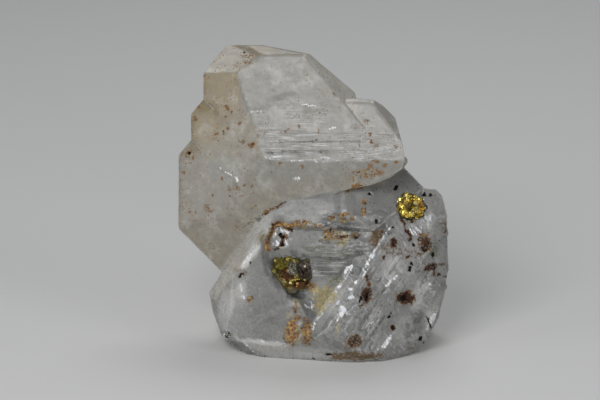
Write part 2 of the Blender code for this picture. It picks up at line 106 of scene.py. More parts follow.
class Noise:
    """Smooth noise on points in millimetres, the same on every run."""

    AXIS_PRIMES = (73856093, 19349663, 83492791)
    SEED_PRIME = 26544357
    SCRAMBLER = 0x45D9F3B
    MASK = 0xFFFFFFFF
    HALF_BITS = 16
    LAYER_SHIFT = 7.3
    LAYER_GAIN = 1.6
    FAR = 9.0
    NUMBER_SEED = 9

    @staticmethod
    def hashed(cells: np.ndarray, seed: int) -> Values:
        """A fixed random number for each whole-number cell.

        Args:
            cells (np.ndarray): whole numbers, three to a row.
            seed (int): picks one of many sets of numbers.

        Returns:
            Values: numbers from 0 to 1.
        """
        along_x, along_y, along_z = (cells[..., axis] * prime for axis, prime in enumerate(Noise.AXIS_PRIMES))
        mixed = (along_x ^ along_y ^ along_z ^ (seed * Noise.SEED_PRIME)) & Noise.MASK
        for _ in range(2):
            mixed = (((mixed >> Noise.HALF_BITS) ^ mixed) * Noise.SCRAMBLER) & Noise.MASK
        return ((mixed >> Noise.HALF_BITS) ^ mixed) / Noise.MASK

    @staticmethod
    def smooth(points: Points, size: float | Triple, seed: int) -> Values:
        """One layer of smooth noise.

        Args:
            points (Points): where to read it.
            size (float | Triple): the width of its lumps, or one width per axis.
            seed (int): picks the pattern.

        Returns:
            Values: numbers from -1 to 1.
        """
        scaled = points / np.array(size)
        cell = np.floor(scaled).astype(np.int64)
        part = scaled - cell
        ease = part * part * (3 - 2 * part)
        total = np.zeros(len(points))
        for corner in itertools.product((0, 1), repeat=3):
            weight = np.prod(np.where(np.array(corner) == 1, ease, 1 - ease), axis=1)
            total += weight * Noise.hashed(cell + np.array(corner), seed)
        return total * 2 - 1

    @staticmethod
    def layered(points: Points, size: float, seed: int, layers: int = 3) -> Values:
        """Several layers of noise, each half as wide and half as strong as the last.

        Args:
            points (Points): where to read it.
            size (float): the width of the largest lumps.
            seed (int): picks the pattern.
            layers (int): how many layers.

        Returns:
            Values: numbers from about -1 to 1.
        """
        total = np.zeros(len(points))
        reach = 0.0
        for layer in range(layers):
            share = 0.5**layer
            total += share * Noise.smooth(points + Noise.LAYER_SHIFT * layer, size * share, seed + layer)
            reach += share
        return total / reach * Noise.LAYER_GAIN

    @staticmethod
    def cells(points: Points, size: Triple, seed: int) -> tuple[Values, Values]:
        """Irregular cells, as broken stone has.

        Args:
            points (Points): where to read them.
            size (Triple): their widths along the axes.
            seed (int): picks the pattern.

        Returns:
            tuple[Values, Values]: how much further the second nearest middle is than the nearest, in cell
                widths, and the nearest cell's own number from 0 to 1.
        """
        scaled = points / np.array(size)
        home = np.floor(scaled).astype(np.int64)
        nearest = np.full(len(points), Noise.FAR)
        second = np.full(len(points), Noise.FAR)
        number = np.zeros(len(points))
        for step in itertools.product((-1, 0, 1), repeat=3):
            cell = home + np.array(step)
            shift = np.stack([Noise.hashed(cell, seed + axis) for axis in range(3)], axis=1)
            gap = np.linalg.norm(cell + shift - scaled, axis=1)
            closer = gap < nearest
            second = np.where(closer, nearest, np.minimum(second, gap))
            number = np.where(closer, Noise.hashed(cell, seed + Noise.NUMBER_SEED), number)
            nearest = np.where(closer, gap, nearest)
        return second - nearest, number


def ramp(values: Values, low: float, high: float) -> Values:
    """An eased step from 0 at low to 1 at high.

    Args:
        values (Values): what to read.
        low (float): where the step starts.
        high (float): where it ends.

    Returns:
        Values: numbers from 0 to 1.
    """
    part = np.clip((values - low) / (high - low), 0.0, 1.0)
    return part * part * (3 - 2 * part)


def strongest(*layers: Values) -> Values:
    """The largest number at each point among several layers."""
    return np.maximum.reduce(layers)


def line_distance(points: Points, line: Outline) -> Values:
    """How far points are from a line of straight parts, across the display side.

    Args:
        points (Points): places on the display side.
        line (Outline): the line's corners in order.

    Returns:
        Values: the distances in millimetres.
    """
    here = points[:, [0, 2]]
    corners = np.array(line)
    nearest = np.full(len(here), np.inf)
    for start, end in zip(corners[:-1], corners[1:]):
        along = end - start
        share = np.clip(((here - start) @ along) / (along @ along), 0, 1)
        nearest = np.minimum(nearest, np.linalg.norm(here - start - share[:, None] * along, axis=1))
    return nearest


def inside_outline(here: Points, outline: Points) -> np.ndarray:
    """Which points are inside a closed outline, all in two axes.

    Args:
        here (Points): the points.
        outline (Points): the outline's corners in order.

    Returns:
        np.ndarray: true for each point inside.
    """
    inside = np.zeros(len(here), bool)
    for start, end in zip(outline, np.roll(outline, -1, axis=0)):
        spans = (start[1] > here[:, 1]) != (end[1] > here[:, 1])
        if spans.any():
            crossing = start[0] + (here[:, 1] - start[1]) / (end[1] - start[1]) * (end[0] - start[0])
            inside ^= spans & (here[:, 0] < crossing)
    return inside


@dataclass(frozen=True)
class Region:
    """An area of the display side inside an outline of x and z."""

    outline: Outline
    softness: float = 0.6

    def mask(self, points: Points) -> Values:
        """How far inside the area each point is.

        Args:
            points (Points): places on the display side.

        Returns:
            Values: 0 outside and 1 inside, with a soft edge as wide as the softness.
        """
        edge = line_distance(points, (*self.outline, self.outline[0]))
        signed = np.where(inside_outline(points[:, [0, 2]], np.array(self.outline)), edge, -edge)
        return ramp(signed, -self.softness / 2, self.softness / 2)


@dataclass(frozen=True)
class Spot:
    """A rounded patch on the display side, with its size, its lean in degrees and its strength."""

    x: float
    z: float
    across: float
    high: float
    lean: float = 0.0
    strength: float = 1.0

    def mask(self, points: Points) -> Values:
        """How strong the patch is at each point.

        Args:
            points (Points): places on the display side.

        Returns:
            Values: the strength in the middle, falling to 0 a little outside the patch.
        """
        lean = math.radians(self.lean)
        dx = points[:, 0] - self.x
        dz = points[:, 2] - self.z
        u = (dx * math.cos(lean) + dz * math.sin(lean)) / (self.across / 2)
        v = (-dx * math.sin(lean) + dz * math.cos(lean)) / (self.high / 2)
        return self.strength * (1 - ramp(np.hypot(u, v), 0.55, 1.35))


@dataclass(frozen=True)
class Trail:
    """A stain that follows a line of points on the display side."""

    line: Outline
    width: float
    strength: float = 1.0

    def mask(self, points: Points) -> Values:
        """How strong the stain is at each point, falling to 0 at its edges."""
        nearest = line_distance(points, self.line)
        return self.strength * (1 - ramp(nearest, self.width * 0.25, self.width * 0.7))


Patch = Spot | Trail


class Tone(Enum):
    """The kinds of stain, mineral film and light or dark area on the calcite, with painted glints, highlights
    and shade among them.
    """

    RUST = "rust"
    ORANGE = "orange"
    DARK = "dark"
    OLIVE = "olive"
    OCHRE = "ochre"
    BROWN = "brown"
    WHITE = "white_and_glint"
    MILKY_AND_HIGHLIGHT = "milky_and_highlight"
    WARM = "warm"
    CLEAR_AND_SHADE = "clear_and_shade"
    SPECKS = "specks"
    GLASSY = "glassy"
    BLUE = "blue"
    GIRDLE = "girdle"
    LEDGES = "ledges"
    CALM = "calm"


class Seed(IntEnum):
    """The seed of each random pattern in the meshes."""

    GRID = 5
    WIDE = 11
    MEDIUM = 12
    UPPER_WAVES = 21
    LOWER_WAVES = 22
    GRAIN = 23
    STRIAE = 24
    FINE_STRIAE = 25
    FLAKES = 26
    FINE_FLAKES = 27
    CLEAVAGE_WAVES = 28
    BLOCKS = 30
    FLOOR = 31
    FLOOR_BARS = 32
    SHARDS = 33
    RUST_GRAINS = 34
    NICKS = 35
    BACK = 36
    BACK_GRAIN = 37
    WANDER = 40


# What is drawn on the display side, tone by tone.
PATCHES: dict[Tone, tuple[Patch, ...]] = {
    Tone.RUST: (
        Spot(-14.3, 67.1, 3.1, 3.5, 20, 0.42), Spot(-13.2, 67.8, 0.9, 0.7, 0, 0.8),
        Spot(-16.1, 65.3, 2.2, 1.8, 0, 0.36), Spot(-23.3, 62.9, 1.8, 1.3, 0, 0.45),
        Spot(-24.6, 56.3, 1.1, 1.1, 0, 0.7), Spot(-26.0, 53.7, 1.3, 1.1, 0, 0.8),
        Spot(-27.3, 46.0, 1.3, 1.3), Spot(-27.1, 45.1, 3.5, 4.0, 0, 0.33),
        Spot(-28.2, 41.8, 1.3, 0.9, 0, 0.5), Spot(-18.5, 55.9, 0.7, 1.8, 25, 0.95),
        Spot(-17.4, 55.0, 0.7, 0.7, 0, 0.9), Spot(-18.9, 53.9, 0.9, 0.9, 0, 0.85),
        Spot(-20.9, 50.4, 0.9, 1.1, 0, 0.9), Spot(-19.4, 50.6, 0.9, 1.1, 0, 0.85),
        Spot(-18.5, 51.3, 0.9, 0.7, 0, 0.8), Spot(-15.6, 52.6, 0.9, 0.9, 0, 0.85),
        Spot(-13.0, 47.7, 2.0, 1.5, 0, 0.9), Spot(-15.0, 48.4, 2.0, 1.3, 0, 0.55),
        Spot(-6.8, 43.8, 0.9, 0.7, 0, 0.8), Spot(-2.0, 42.9, 1.1, 0.9, 0, 0.9),
        Spot(-5.3, 51.0, 1.1, 0.7, 0, 0.75), Spot(-2.6, 52.1, 0.7, 0.9, 0, 0.8),
        Spot(1.5, 50.8, 0.7, 1.1, 0, 0.8), Spot(4.8, 58.7, 0.7, 0.9, 0, 0.7),
        Spot(12.3, 53.0, 1.1, 0.6, 0, 0.75), Spot(13.0, 50.2, 0.8, 0.9, 0, 0.9),
        Spot(13.2, 48.6, 0.9, 1.3, 0, 0.95), Spot(10.6, 48.0, 1.1, 0.9, 0, 0.8),
        Spot(14.3, 47.3, 1.5, 2.0, 0, 0.5), Spot(18.5, 47.5, 0.9, 0.9, 0, 0.7),
        Spot(14.1, 44.2, 2.0, 0.9, 0, 0.85), Spot(16.1, 43.3, 1.3, 0.9, 20, 0.8),
        Spot(18.7, 43.8, 1.3, 1.0, 20, 0.95), Spot(13.0, 42.9, 1.5, 1.3, 0, 0.75),
        Spot(15.0, 41.6, 2.0, 1.3, 0, 0.95), Spot(11.9, 41.1, 1.3, 0.6, 0, 0.85),
        Spot(-19.6, 40.5, 0.9, 1.1, 0, 0.75), Spot(-14.7, 38.9, 0.7, 0.8, 0, 0.85),
        Spot(-13.2, 38.7, 0.7, 0.8, 0, 0.85), Spot(-16.9, 38.3, 3.1, 3.1, 30, 0.42),
        Spot(-21.8, 36.7, 0.7, 0.7, 0, 0.9), Spot(-17.8, 36.3, 0.7, 0.7, 0, 0.9),
        Spot(-15.8, 36.3, 1.1, 0.7, 0, 0.7), Spot(-23.3, 34.1, 1.3, 1.5, 0, 0.55),
        Spot(-22.2, 33.2, 1.8, 0.9, 0, 0.5), Spot(-27.1, 33.2, 1.1, 1.1, 0, 0.6),
        Spot(-25.7, 32.8, 0.7, 0.9, 0, 0.7), Spot(-16.7, 29.5, 2.0, 1.5, 0, 0.4),
        Spot(-12.5, 33.9, 1.8, 1.1, 0, 0.4), Spot(10.2, 38.9, 2.6, 0.8, 5, 0.85),
        Spot(9.4, 39.9, 0.6, 1.2, 10, 0.7),
        Spot(-9.9, 33.0, 1.5, 0.9, 20, 0.95),
        Trail(((-10.8, 32.8), (-9.9, 33.0), (-8.1, 33.9), (-5.9, 35.2)), 0.5, 0.75),
        Trail(((-9.4, 26.2), (-8.9, 28.6), (-8.2, 29.9), (-7.3, 30.3)), 0.6, 0.75),
        Spot(-7.3, 30.4, 1.9, 0.7, 0, 0.8), Trail(((-5.3, 29.5), (-4.2, 28.7)), 0.5, 0.8),
        Spot(-5.6, 27.5, 1.2, 1.7, 0, 0.5),
        Trail(((-6.3, 27.6), (-6.1, 26.3), (-6.9, 25.3), (-7.8, 24.8)), 0.7, 0.85),
        Spot(-3.2, 30.4, 3.2, 0.9, 5, 0.4), Trail(((19.6, 31.4), (20.3, 30.4), (21.0, 29.2)), 0.45, 0.9),
        Trail(((21.0, 29.2), (21.8, 27.9), (21.7, 27.0)), 0.9, 0.9), Spot(5.6, 28.0, 5.4, 1.4, -8, 0.42),
        Spot(6.8, 27.4, 2.4, 0.9, 0, 0.8), Spot(9.6, 28.0, 2.2, 1.1, 10, 0.6),
        Spot(11.7, 35.0, 1.1, 0.9, 0, 0.75), Spot(15.6, 28.8, 1.3, 1.1, 0, 0.6),
        Spot(29.3, 28.9, 1.1, 1.8, 0, 0.4),
        Trail(((28.7, 30.2), (29.5, 30.7), (30.0, 29.6), (29.8, 28.2), (29.0, 27.6)), 0.4, 0.7),
        Spot(23.9, 27.2, 1.3, 1.4, 0, 0.8), Spot(23.7, 23.9, 1.1, 0.8, 0, 0.7), Spot(18.0, 26.4, 1.8, 2.0),
        Spot(25.2, 26.0, 2.6, 4.4, 8, 0.74), Spot(21.3, 23.3, 1.1, 0.9, 0, 0.8),
        Spot(26.6, 21.0, 3.8, 1.7, 8, 0.85), Spot(29.0, 21.4, 2.2, 0.9, -5, 0.7),
        Spot(25.3, 20.4, 1.4, 0.9, -20, 0.8), Trail(((27.0, 20.6), (27.1, 19.0)), 0.7, 0.95),
        Spot(28.4, 19.2, 0.9, 1.0, 0, 0.95), Spot(29.8, 18.6, 1.3, 0.6, -20, 0.8),
        Spot(20.7, 14.1, 4.6, 3.4), Spot(12.1, 14.8, 2.5, 3.8, 0, 0.95),
        Trail(((12.6, 15.0), (12.5, 17.2), (12.4, 19.2)), 0.8, 0.8),
        Trail(((11.6, 13.6), (10.8, 12.0)), 0.7, 0.6), Spot(12.5, 18.5, 0.6, 2.0, 5, 0.9),
        Spot(16.1, 22.9, 1.1, 0.9, 0, 0.8), Spot(18.0, 7.7, 1.3, 1.1), Spot(15.0, 12.5, 1.3, 0.7, 0, 0.6),
        Spot(9.6, 4.7, 3.8, 3.0, 0, 0.75), Spot(8.4, 3.7, 2.6, 1.6, 0, 0.45),
        Spot(21.8, 2.9, 1.1, 0.9, 30, 0.6), Spot(-15.6, 19.8, 2.9, 1.3, -30, 0.45),
        Spot(-13.6, 13.8, 1.2, 0.7, 25, 0.6), Spot(-7.5, 24.9, 1.1, 0.7, 0, 0.9),
        Spot(26.2, 5.5, 0.9, 0.7, 0, 0.7),
    ),
    Tone.ORANGE: (
        Spot(9.2, 40.0, 0.9, 1.8, 10, 0.6), Spot(10.3, 38.7, 3.3, 1.3, 5, 0.8),
        Spot(8.5, 37.6, 1.6, 0.8, 25, 0.75), Spot(12.2, 41.6, 7.0, 2.4, 8, 0.36),
        Trail(((-9.4, 24.8), (-9.5, 26.6), (-9.1, 28.0), (-8.5, 29.3), (-7.8, 30.0)), 1.2, 0.8),
        Trail(((-8.1, 30.2), (-7.0, 30.2), (-6.0, 29.9), (-5.0, 29.7), (-3.9, 30.2)), 1.3, 0.95),
        Spot(-2.6, 30.4, 4.2, 1.7, 0, 0.72), Spot(0.6, 30.0, 3.6, 1.5, -15, 0.5),
        Spot(3.7, 28.3, 3.2, 2.4, -15, 0.6), Spot(6.3, 27.4, 3.4, 1.3, 0, 0.65),
        Spot(-0.4, 17.0, 2.4, 1.5, -15, 0.7), Spot(4.6, 31.7, 2.0, 1.2, 0, 0.72),
        Spot(7.1, 32.4, 2.3, 0.9, 0, 0.85), Spot(7.0, 31.2, 1.5, 0.9, 0, 0.7),
        Spot(8.7, 31.6, 1.2, 0.9, 0, 0.6), Spot(11.7, 35.2, 1.7, 1.6, 0, 0.7),
        Spot(-1.1, 18.0, 0.9, 1.5, 0, 0.7), Spot(-3.3, 12.8, 0.8, 1.5, 0, 0.5),
        Spot(-3.7, 11.5, 1.2, 2.4, 5, 0.7), Spot(-3.3, 9.7, 2.6, 1.3, 0, 0.9), Spot(-4.2, 6.7, 2.7, 6.0),
        Spot(-0.9, 6.7, 2.6, 5.8, 0, 0.85), Spot(-5.3, 5.3, 2.2, 1.5, 0, 0.5),
        Spot(11.7, 33.0, 1.1, 2.0, 0, 0.9), Spot(-13.4, 14.0, 2.2, 1.1, 25, 0.85),
        Spot(-15.6, 19.7, 2.2, 1.7, 0, 0.4), Spot(24.8, 27.0, 2.8, 4.2, 0, 0.62),
        Spot(9.2, 4.3, 3.6, 2.4, 0, 0.6),
    ),
    Tone.DARK: (
        Spot(-15.0, 68.2, 0.8, 0.9), Spot(-13.0, 47.7, 0.9, 0.7, 0, 0.8), Spot(-27.3, 46.0, 0.9, 0.9),
        Spot(0.7, 48.8, 1.5, 0.4, -5), Spot(12.8, 37.0, 0.9, 0.9, 30), Spot(14.5, 31.0, 0.9, 1.1),
        Spot(18.7, 38.3, 1.1, 1.3, 10), Spot(18.0, 26.2, 0.8, 0.8, 0, 0.5),
        Spot(24.9, 25.3, 1.1, 1.8, 0, 0.6), Spot(22.0, 21.6, 0.8, 0.9), Spot(21.6, 20.5, 0.9, 1.0),
        Spot(20.4, 14.2, 1.7, 1.7), Spot(12.1, 14.3, 1.1, 1.8, 0, 0.9),
        Spot(10.8, 13.9, 0.8, 2.0, -10, 0.9), Spot(16.9, 9.9, 1.0, 0.9), Spot(17.6, 10.8, 0.6, 0.8, 0, 0.9),
        Spot(18.0, 7.7, 0.9, 0.7, 0, 0.7), Spot(24.0, 5.3, 1.1, 1.2), Spot(24.9, 4.0, 0.7, 0.9, 0, 0.8),
        Spot(-6.7, 27.9, 0.9, 0.8), Spot(-6.2, 27.3, 0.8, 0.7, 0, 0.9), Spot(-6.2, 25.9, 0.7, 0.8, 30, 0.9),
        Spot(-7.6, 24.9, 0.8, 0.5, 0, 0.8), Spot(-8.2, 30.3, 0.9, 0.5, 40, 0.6),
        Spot(-4.4, 29.1, 0.9, 0.5, -30, 0.7), Spot(2.2, 26.4, 0.8, 0.5, 0, 0.8),
        Spot(9.9, 27.4, 1.0, 0.7, 0, 0.8), Spot(6.8, 27.5, 1.3, 0.6, 0, 0.6), Spot(17.7, 29.6, 0.5, 0.5),
        Spot(22.6, 25.9, 0.7, 0.8, 0, 0.9), Spot(23.5, 20.1, 0.7, 0.6, 0, 0.7), Spot(27.0, 23.8, 0.9, 1.1),
        Spot(26.6, 25.3, 0.8, 0.9, 0, 0.85), Spot(8.2, 28.1, 0.8, 0.5, 0, 0.8),
        Spot(4.2, 29.1, 0.6, 0.5, 0, 0.7), Spot(3.0, 27.5, 0.5, 0.5, 0, 0.7),
        Spot(-3.6, 11.0, 0.5, 0.6, 0, 0.6), Spot(-2.9, 8.9, 0.9, 0.5, 0, 0.6),
        Spot(24.9, 36.7, 1.2, 0.9, 0, 0.9), Spot(26.4, 36.9, 1.0, 0.7, 0, 0.85),
        Trail(((28.5, 26.5), (29.7, 26.1)), 0.3, 0.7), Spot(-15.4, 19.1, 2.0, 0.5, 35),
        Spot(-13.4, 21.6, 1.5, 0.5, 60, 0.9), Spot(3.7, 1.5, 1.3, 0.7, 0, 0.9),
        Spot(0.4, 0.4, 0.9, 0.6, 0, 0.9), Spot(27.3, 21.0, 2.2, 0.8, 0, 0.6),
        Trail(((25.5, 9.7), (26.0, 8.8), (26.6, 7.5)), 0.45),
    ),
    Tone.OLIVE: (
        Spot(9.4, 27.8, 2.6, 1.9, 0, 0.9), Spot(5.9, 26.2, 6.6, 1.3, 0, 0.45),
        Spot(3.6, 22.0, 2.0, 1.4, 0, 0.6), Spot(5.0, 31.0, 2.2, 1.0, -20, 0.45),
        Spot(6.6, 18.2, 1.7, 1.6, 30, 0.6), Spot(5.5, 24.4, 7.9, 0.9, 0, 0.5),
        Spot(3.3, 23.3, 4.0, 0.9, 0, 0.5), Spot(-11.7, 31.7, 1.5, 1.1, 30),
        Trail(((-14.7, 29.7), (-13.0, 31.0), (-10.8, 32.6)), 0.6, 0.6), Spot(27.0, 24.6, 1.8, 3.6, 0, 1.7),
        Spot(27.0, 24.5, 1.0, 2.2), Spot(14.3, 15.0, 1.1, 1.5, 0, 0.7), Spot(12.5, 16.3, 1.3, 2.4, 0, 0.8),
        Spot(7.5, 30.8, 3.1, 0.9, -15, 0.7), Spot(4.8, 18.3, 5.3, 2.6, 0, 0.5),
        Trail(((-1.8, 25.4), (3.0, 25.2), (8.8, 24.4)), 0.9, 0.65),
        Trail(((-0.5, 24.0), (4.0, 23.7), (8.2, 23.2)), 0.8, 0.55),
        Trail(((1.0, 22.6), (6.5, 22.2)), 0.7, 0.45),
    ),
    Tone.OCHRE: (
        Spot(3.1, 14.7, 5.3, 4.0, 0, 0.95), Spot(2.0, 12.3, 2.9, 3.5, -15, 0.95),
        Spot(4.3, 15.4, 2.0, 2.0, 0, 0.8), Spot(0.9, 16.2, 2.8, 1.8, -20, 0.8),
        Spot(5.4, 18.0, 3.4, 1.8, 10, 0.36), Spot(5.9, 8.1, 1.1, 4.0, 0, 0.45),
        Spot(1.9, 11.2, 1.3, 2.0, -20, 0.85), Spot(5.6, 27.7, 7.2, 2.6, -5, 0.72),
        Spot(6.9, 26.2, 2.8, 1.2, 0, 0.8), Spot(-1.6, 30.1, 4.6, 1.5, -5, 0.62),
        Spot(-10.9, 28.0, 1.6, 3.4, -18, 0.42), Spot(-3.2, 12.9, 1.4, 2.2, 5, 0.62),
        Spot(-4.0, 10.2, 3.0, 2.0, 0, 0.4), Spot(-2.6, 6.6, 5.2, 5.0, 0, 0.42),
    ),
    Tone.BROWN: (
        Spot(-0.7, 16.9, 3.3, 2.2, -15), Spot(14.1, 27.4, 2.6, 4.4, -28, 1.05),
        Spot(13.5, 26.6, 1.6, 2.0, -28, 0.9), Spot(17.8, 25.0, 6.4, 3.2, 0, 0.54),
        Spot(21.6, 24.0, 5.4, 2.6, 0, 0.48), Spot(9.6, 1.4, 14.0, 2.2, 0, 0.85),
    ),
    # Darker clear calcite and striae, and painted shade: on the hollow's floor and left wall, round the
    # tarnished crystal's lower left, and on the low left facet.
    Tone.CLEAR_AND_SHADE: (
        Spot(9.6, 28.2, 2.6, 2.4, 0, 0.9), Spot(4.8, 30.9, 2.2, 1.2, -20, 0.75),
        Spot(7.4, 29.6, 3.2, 1.8, -10, 0.85),
        Trail(((-1.5, 23.2), (2.5, 22.7), (7.0, 22.9), (11.5, 23.9)), 1.0, 0.8),
        Trail(((6.6, 25.0), (9.5, 24.4), (12.6, 24.6)), 0.8, 0.6), Spot(-3.7, 23.9, 2.2, 1.3, -35, 0.65),
        Spot(23.6, 9.6, 1.4, 3.6, -38, 0.8), Spot(22.2, 6.6, 1.4, 3.4, -38, 0.7),
        Spot(21.3, 4.3, 2.0, 1.2, 20, 0.75),
        Trail(((-1.6, 14.4), (-4.2, 14.8), (-6.4, 15.9), (-8.2, 17.9), (-9.4, 20.6)), 1.7, 0.85),
        Trail(((-4.5, 14.6), (-1.8, 12.4), (0.6, 10.2)), 1.6, 0.5),
        Trail(((-10.3, 27.2), (-10.1, 24.4), (-9.3, 21.2)), 2.0, 0.85),
        Spot(-12.6, 1.7, 4.2, 1.6, -28, 0.6), Spot(-9.4, 11.6, 9.0, 6.0, 20, 0.2),
        Spot(-16.4, 3.6, 4.4, 1.4, -30, 0.6),
    ),
    # Haze, with a painted highlight on the rim's bright patch.
    Tone.MILKY_AND_HIGHLIGHT: (
        Spot(-12.8, 24.4, 2.8, 5.2, -38, 0.7), Spot(-15.6, 15.6, 3.4, 5.4, -20, 0.5),
        Spot(-14.2, 22.2, 2.2, 4.4, -38, 0.7), Spot(-18.6, 12.6, 4.0, 8.0, -10, 0.5),
        Spot(-19.4, 9.5, 2.2, 6.0, 15, 0.4), Spot(-11.0, 4.2, 12.0, 1.3, -6, 0.6),
        Spot(-2.2, 1.6, 6.0, 1.4, 0, 0.4), Spot(-5.6, 33.6, 6.0, 1.6, 22, 0.35),
        Spot(1.0, 33.0, 7.5, 4.0, 0, 0.3), Spot(5.6, 13.4, 2.6, 7.5, -30, 0.4),
        Spot(25.6, 30.8, 3.4, 7.0, 0, 0.35), Spot(20.5, 6.0, 8.0, 5.0, 0, 0.35),
        Spot(17.5, 20.0, 3.4, 9.0, -30, 0.4), Spot(24.0, 15.5, 3.0, 8.0, -25, 0.4),
        Spot(13.4, 9.0, 2.6, 8.0, -28, 0.4), Spot(27.0, 11.0, 2.4, 8.0, -20, 0.4),
        Spot(15.5, 4.5, 5.0, 4.0, 0, 0.35), Spot(12.0, 24.0, 2.6, 9.5, -34, 0.35),
        Trail(((-14.6, 8.8), (-3.2, 13.4)), 0.7, 0.24), Trail(((-12.2, 8.6), (-7.4, 10.9)), 0.5, 0.2),
        Trail(((-15.0, 18.2), (-14.4, 14.2), (-16.0, 11.0)), 0.8, 0.22),
    ),
    # Whitish chips and the pocket's pale inside, and painted glints on the rim, the girdle and the cleavage.
    Tone.WHITE: (
        Spot(-15.2, 16.3, 0.35, 1.8, 8, 0.7), Spot(-14.9, 14.1, 0.9, 1.0, 0, 0.75),
        Spot(-13.1, 11.4, 0.6, 0.6, 0, 0.6),
        Trail(((-17.5, 5.9), (-15.6, 4.9), (-13.6, 4.5), (-8.5, 4.5), (-3.5, 3.9)), 0.25, 0.3),
        Trail(((-15.4, 4.8), (-13.6, 3.1), (-11.4, 1.4)), 0.3, 0.42), Spot(-0.2, 12.5, 2.0, 2.0, 0, 0.35),
        Spot(6.9, 11.1, 2.0, 2.6, -20, 0.85), Spot(5.7, 9.6, 0.8, 1.1, -20, 0.8),
        Spot(5.8, 13.3, 0.7, 0.9, 0, 0.9), Spot(8.6, 14.2, 1.4, 1.1), Spot(8.7, 16.1, 1.2, 0.8, 0, 0.95),
        Spot(9.6, 17.6, 0.9, 0.8, 0, 0.9), Spot(8.0, 20.6, 1.0, 2.8, -45, 0.6),
        Spot(13.0, 22.6, 1.2, 6.0, -28, 0.4), Spot(26.0, 16.8, 0.7, 1.8, -30, 0.5),
        Spot(12.5, 8.1, 0.7, 2.6, -30, 0.6), Spot(16.7, 4.6, 1.1, 3.5, -35, 0.8),
        Spot(15.2, 3.3, 1.1, 1.8, -30, 0.6), Spot(26.6, 9.2, 0.9, 5.3, -30, 0.6),
        Spot(25.7, 31.0, 2.2, 4.4, 0, 0.4), Spot(23.1, 29.3, 3.4, 2.4, 0, 0.35),
        Spot(-13.9, 22.9, 1.1, 3.1, -35, 0.5), Spot(-6.3, 28.9, 3.6, 0.9, -2, 0.62),
        Spot(-8.1, 28.0, 0.8, 1.5, 0, 0.55), Spot(-7.5, 26.2, 1.6, 1.1, 0, 0.58),
        Spot(-5.4, 28.1, 1.1, 1.1, 0, 0.62), Spot(-5.4, 26.6, 0.8, 1.1, 20, 0.55),
        Spot(-3.9, 27.3, 1.5, 0.4, 25, 0.6), Spot(-16.5, 40.3, 0.4, 1.1, 20),
        Trail(((-20.2, 42.7), (-18.4, 41.6), (-17.2, 40.8)), 0.3, 0.6),
        Trail(((-10.4, 45.0), (-7.9, 44.5), (-2.4, 44.2), (6.4, 44.3)), 0.2, 0.3),
        Trail(((-14.0, 55.0), (-12.2, 55.3), (-10.8, 55.2)), 0.25, 0.5),
        Trail(((-2.0, 56.6), (0.0, 56.3), (2.0, 56.4)), 0.25, 0.5),
        Trail(((17.4, 29.5), (15.2, 26.4), (14.1, 24.7)), 0.3, 0.6),
        Trail(((14.2, 24.9), (12.5, 20.9), (11.3, 18.7)), 0.35, 0.8),
        Trail(((13.5, 24.0), (11.8, 20.9)), 0.3, 0.75),
        Trail(((9.0, 21.5), (7.6, 20.4), (6.8, 19.6)), 0.4, 0.9),
        Trail(((9.2, 21.2), (8.1, 19.5)), 0.35, 0.75),
        Trail(((8.6, 20.0), (5.9, 16.3), (5.1, 14.5), (3.3, 12.3), (1.5, 9.5), (0.4, 7.4)), 0.35, 0.72),
        Trail(((18.8, 19.1), (17.6, 18.0), (16.6, 16.9)), 0.4, 0.85),
        Spot(-12.5, 24.6, 1.0, 2.6, -40, 0.35), Spot(4.6, 51.3, 1.8, 0.4, 0, 0.8),
        Spot(-3.1, 40.3, 2.0, 0.6, 0, 0.7),
    ),
}

SUNKEN_PATCH = Region(
    ((-16.3, 63.8), (-10.8, 65.1), (-6.8, 63.4), (-3.3, 59.4), (-8.6, 57.6), (-10.3, 55.4),
     (-14.3, 55.0), (-15.4, 58.7)),
    2.2,
)
GIRDLE = Region(
    ((-12.3, 51.2), (-2.0, 50.6), (9.0, 49.2), (20.2, 48.0), (20.7, 44.1), (-2.4, 44.0),
     (-10.8, 44.9)),
    0.9,
)
ABOVE_GIRDLE = Region(
    ((-13.5, 56.5), (-8.0, 57.5), (2.0, 56.0), (9.0, 53.5), (20.2, 50.4), (20.2, 47.4), (-11.9, 50.4)),
    2.4,
)
UPPER_LEFT_FACE = Region(((-18.7, 70.6), (-12.3, 67.5), (-16.5, 64.0), (-24.4, 63.8)), 0.5)
TOP_BEVEL = Region(
    ((-12.3, 67.5), (-1.3, 67.7), (0.2, 68.4), (-4.2, 69.6), (-10.6, 70.6), (-18.7, 70.6)),
    0.5,
)
RIGHT_BEVEL = Region(
    ((-1.3, 67.8), (0.2, 68.4), (10.4, 59.6), (10.4, 57.9), (9.9, 54.3), (5.3, 59.8), (3.1, 62.3)),
    0.5,
)
MIDDLE_FACE = Region(
    ((-16.3, 64.0), (-10.6, 67.0), (-1.3, 66.8), (3.1, 62.3), (5.3, 59.8), (9.9, 54.3), (10.0, 51.0),
     (-11.7, 51.0), (-14.5, 55.0), (-15.6, 59.8)),
    1.6,
)
LEFT_FACE = Region(
    ((-24.4, 64.0), (-16.5, 64.0), (-15.6, 59.8), (-14.7, 55.0), (-11.7, 51.0), (-10.8, 44.9),
     (-16.5, 40.0), (-24.6, 43.3), (-30.0, 46.0), (-28.1, 55.6), (-24.4, 58.3)),
    1.5,
)
UNDER_GIRDLE = Region(
    ((-26.0, 43.5), (-10.8, 43.6), (-2.4, 42.8), (14.0, 42.8), (13.0, 40.5), (3.8, 38.6), (-5.9, 36.6),
     (-10.9, 34.0), (-15.1, 28.5), (-28.0, 30.5)),
    1.6,
)
LEFT_LOW_FACE = Region(((-30.5, 46.0), (-24.0, 43.5), (-16.5, 38.0), (-15.0, 30.0), (-30.5, 29.5)), 3.0)
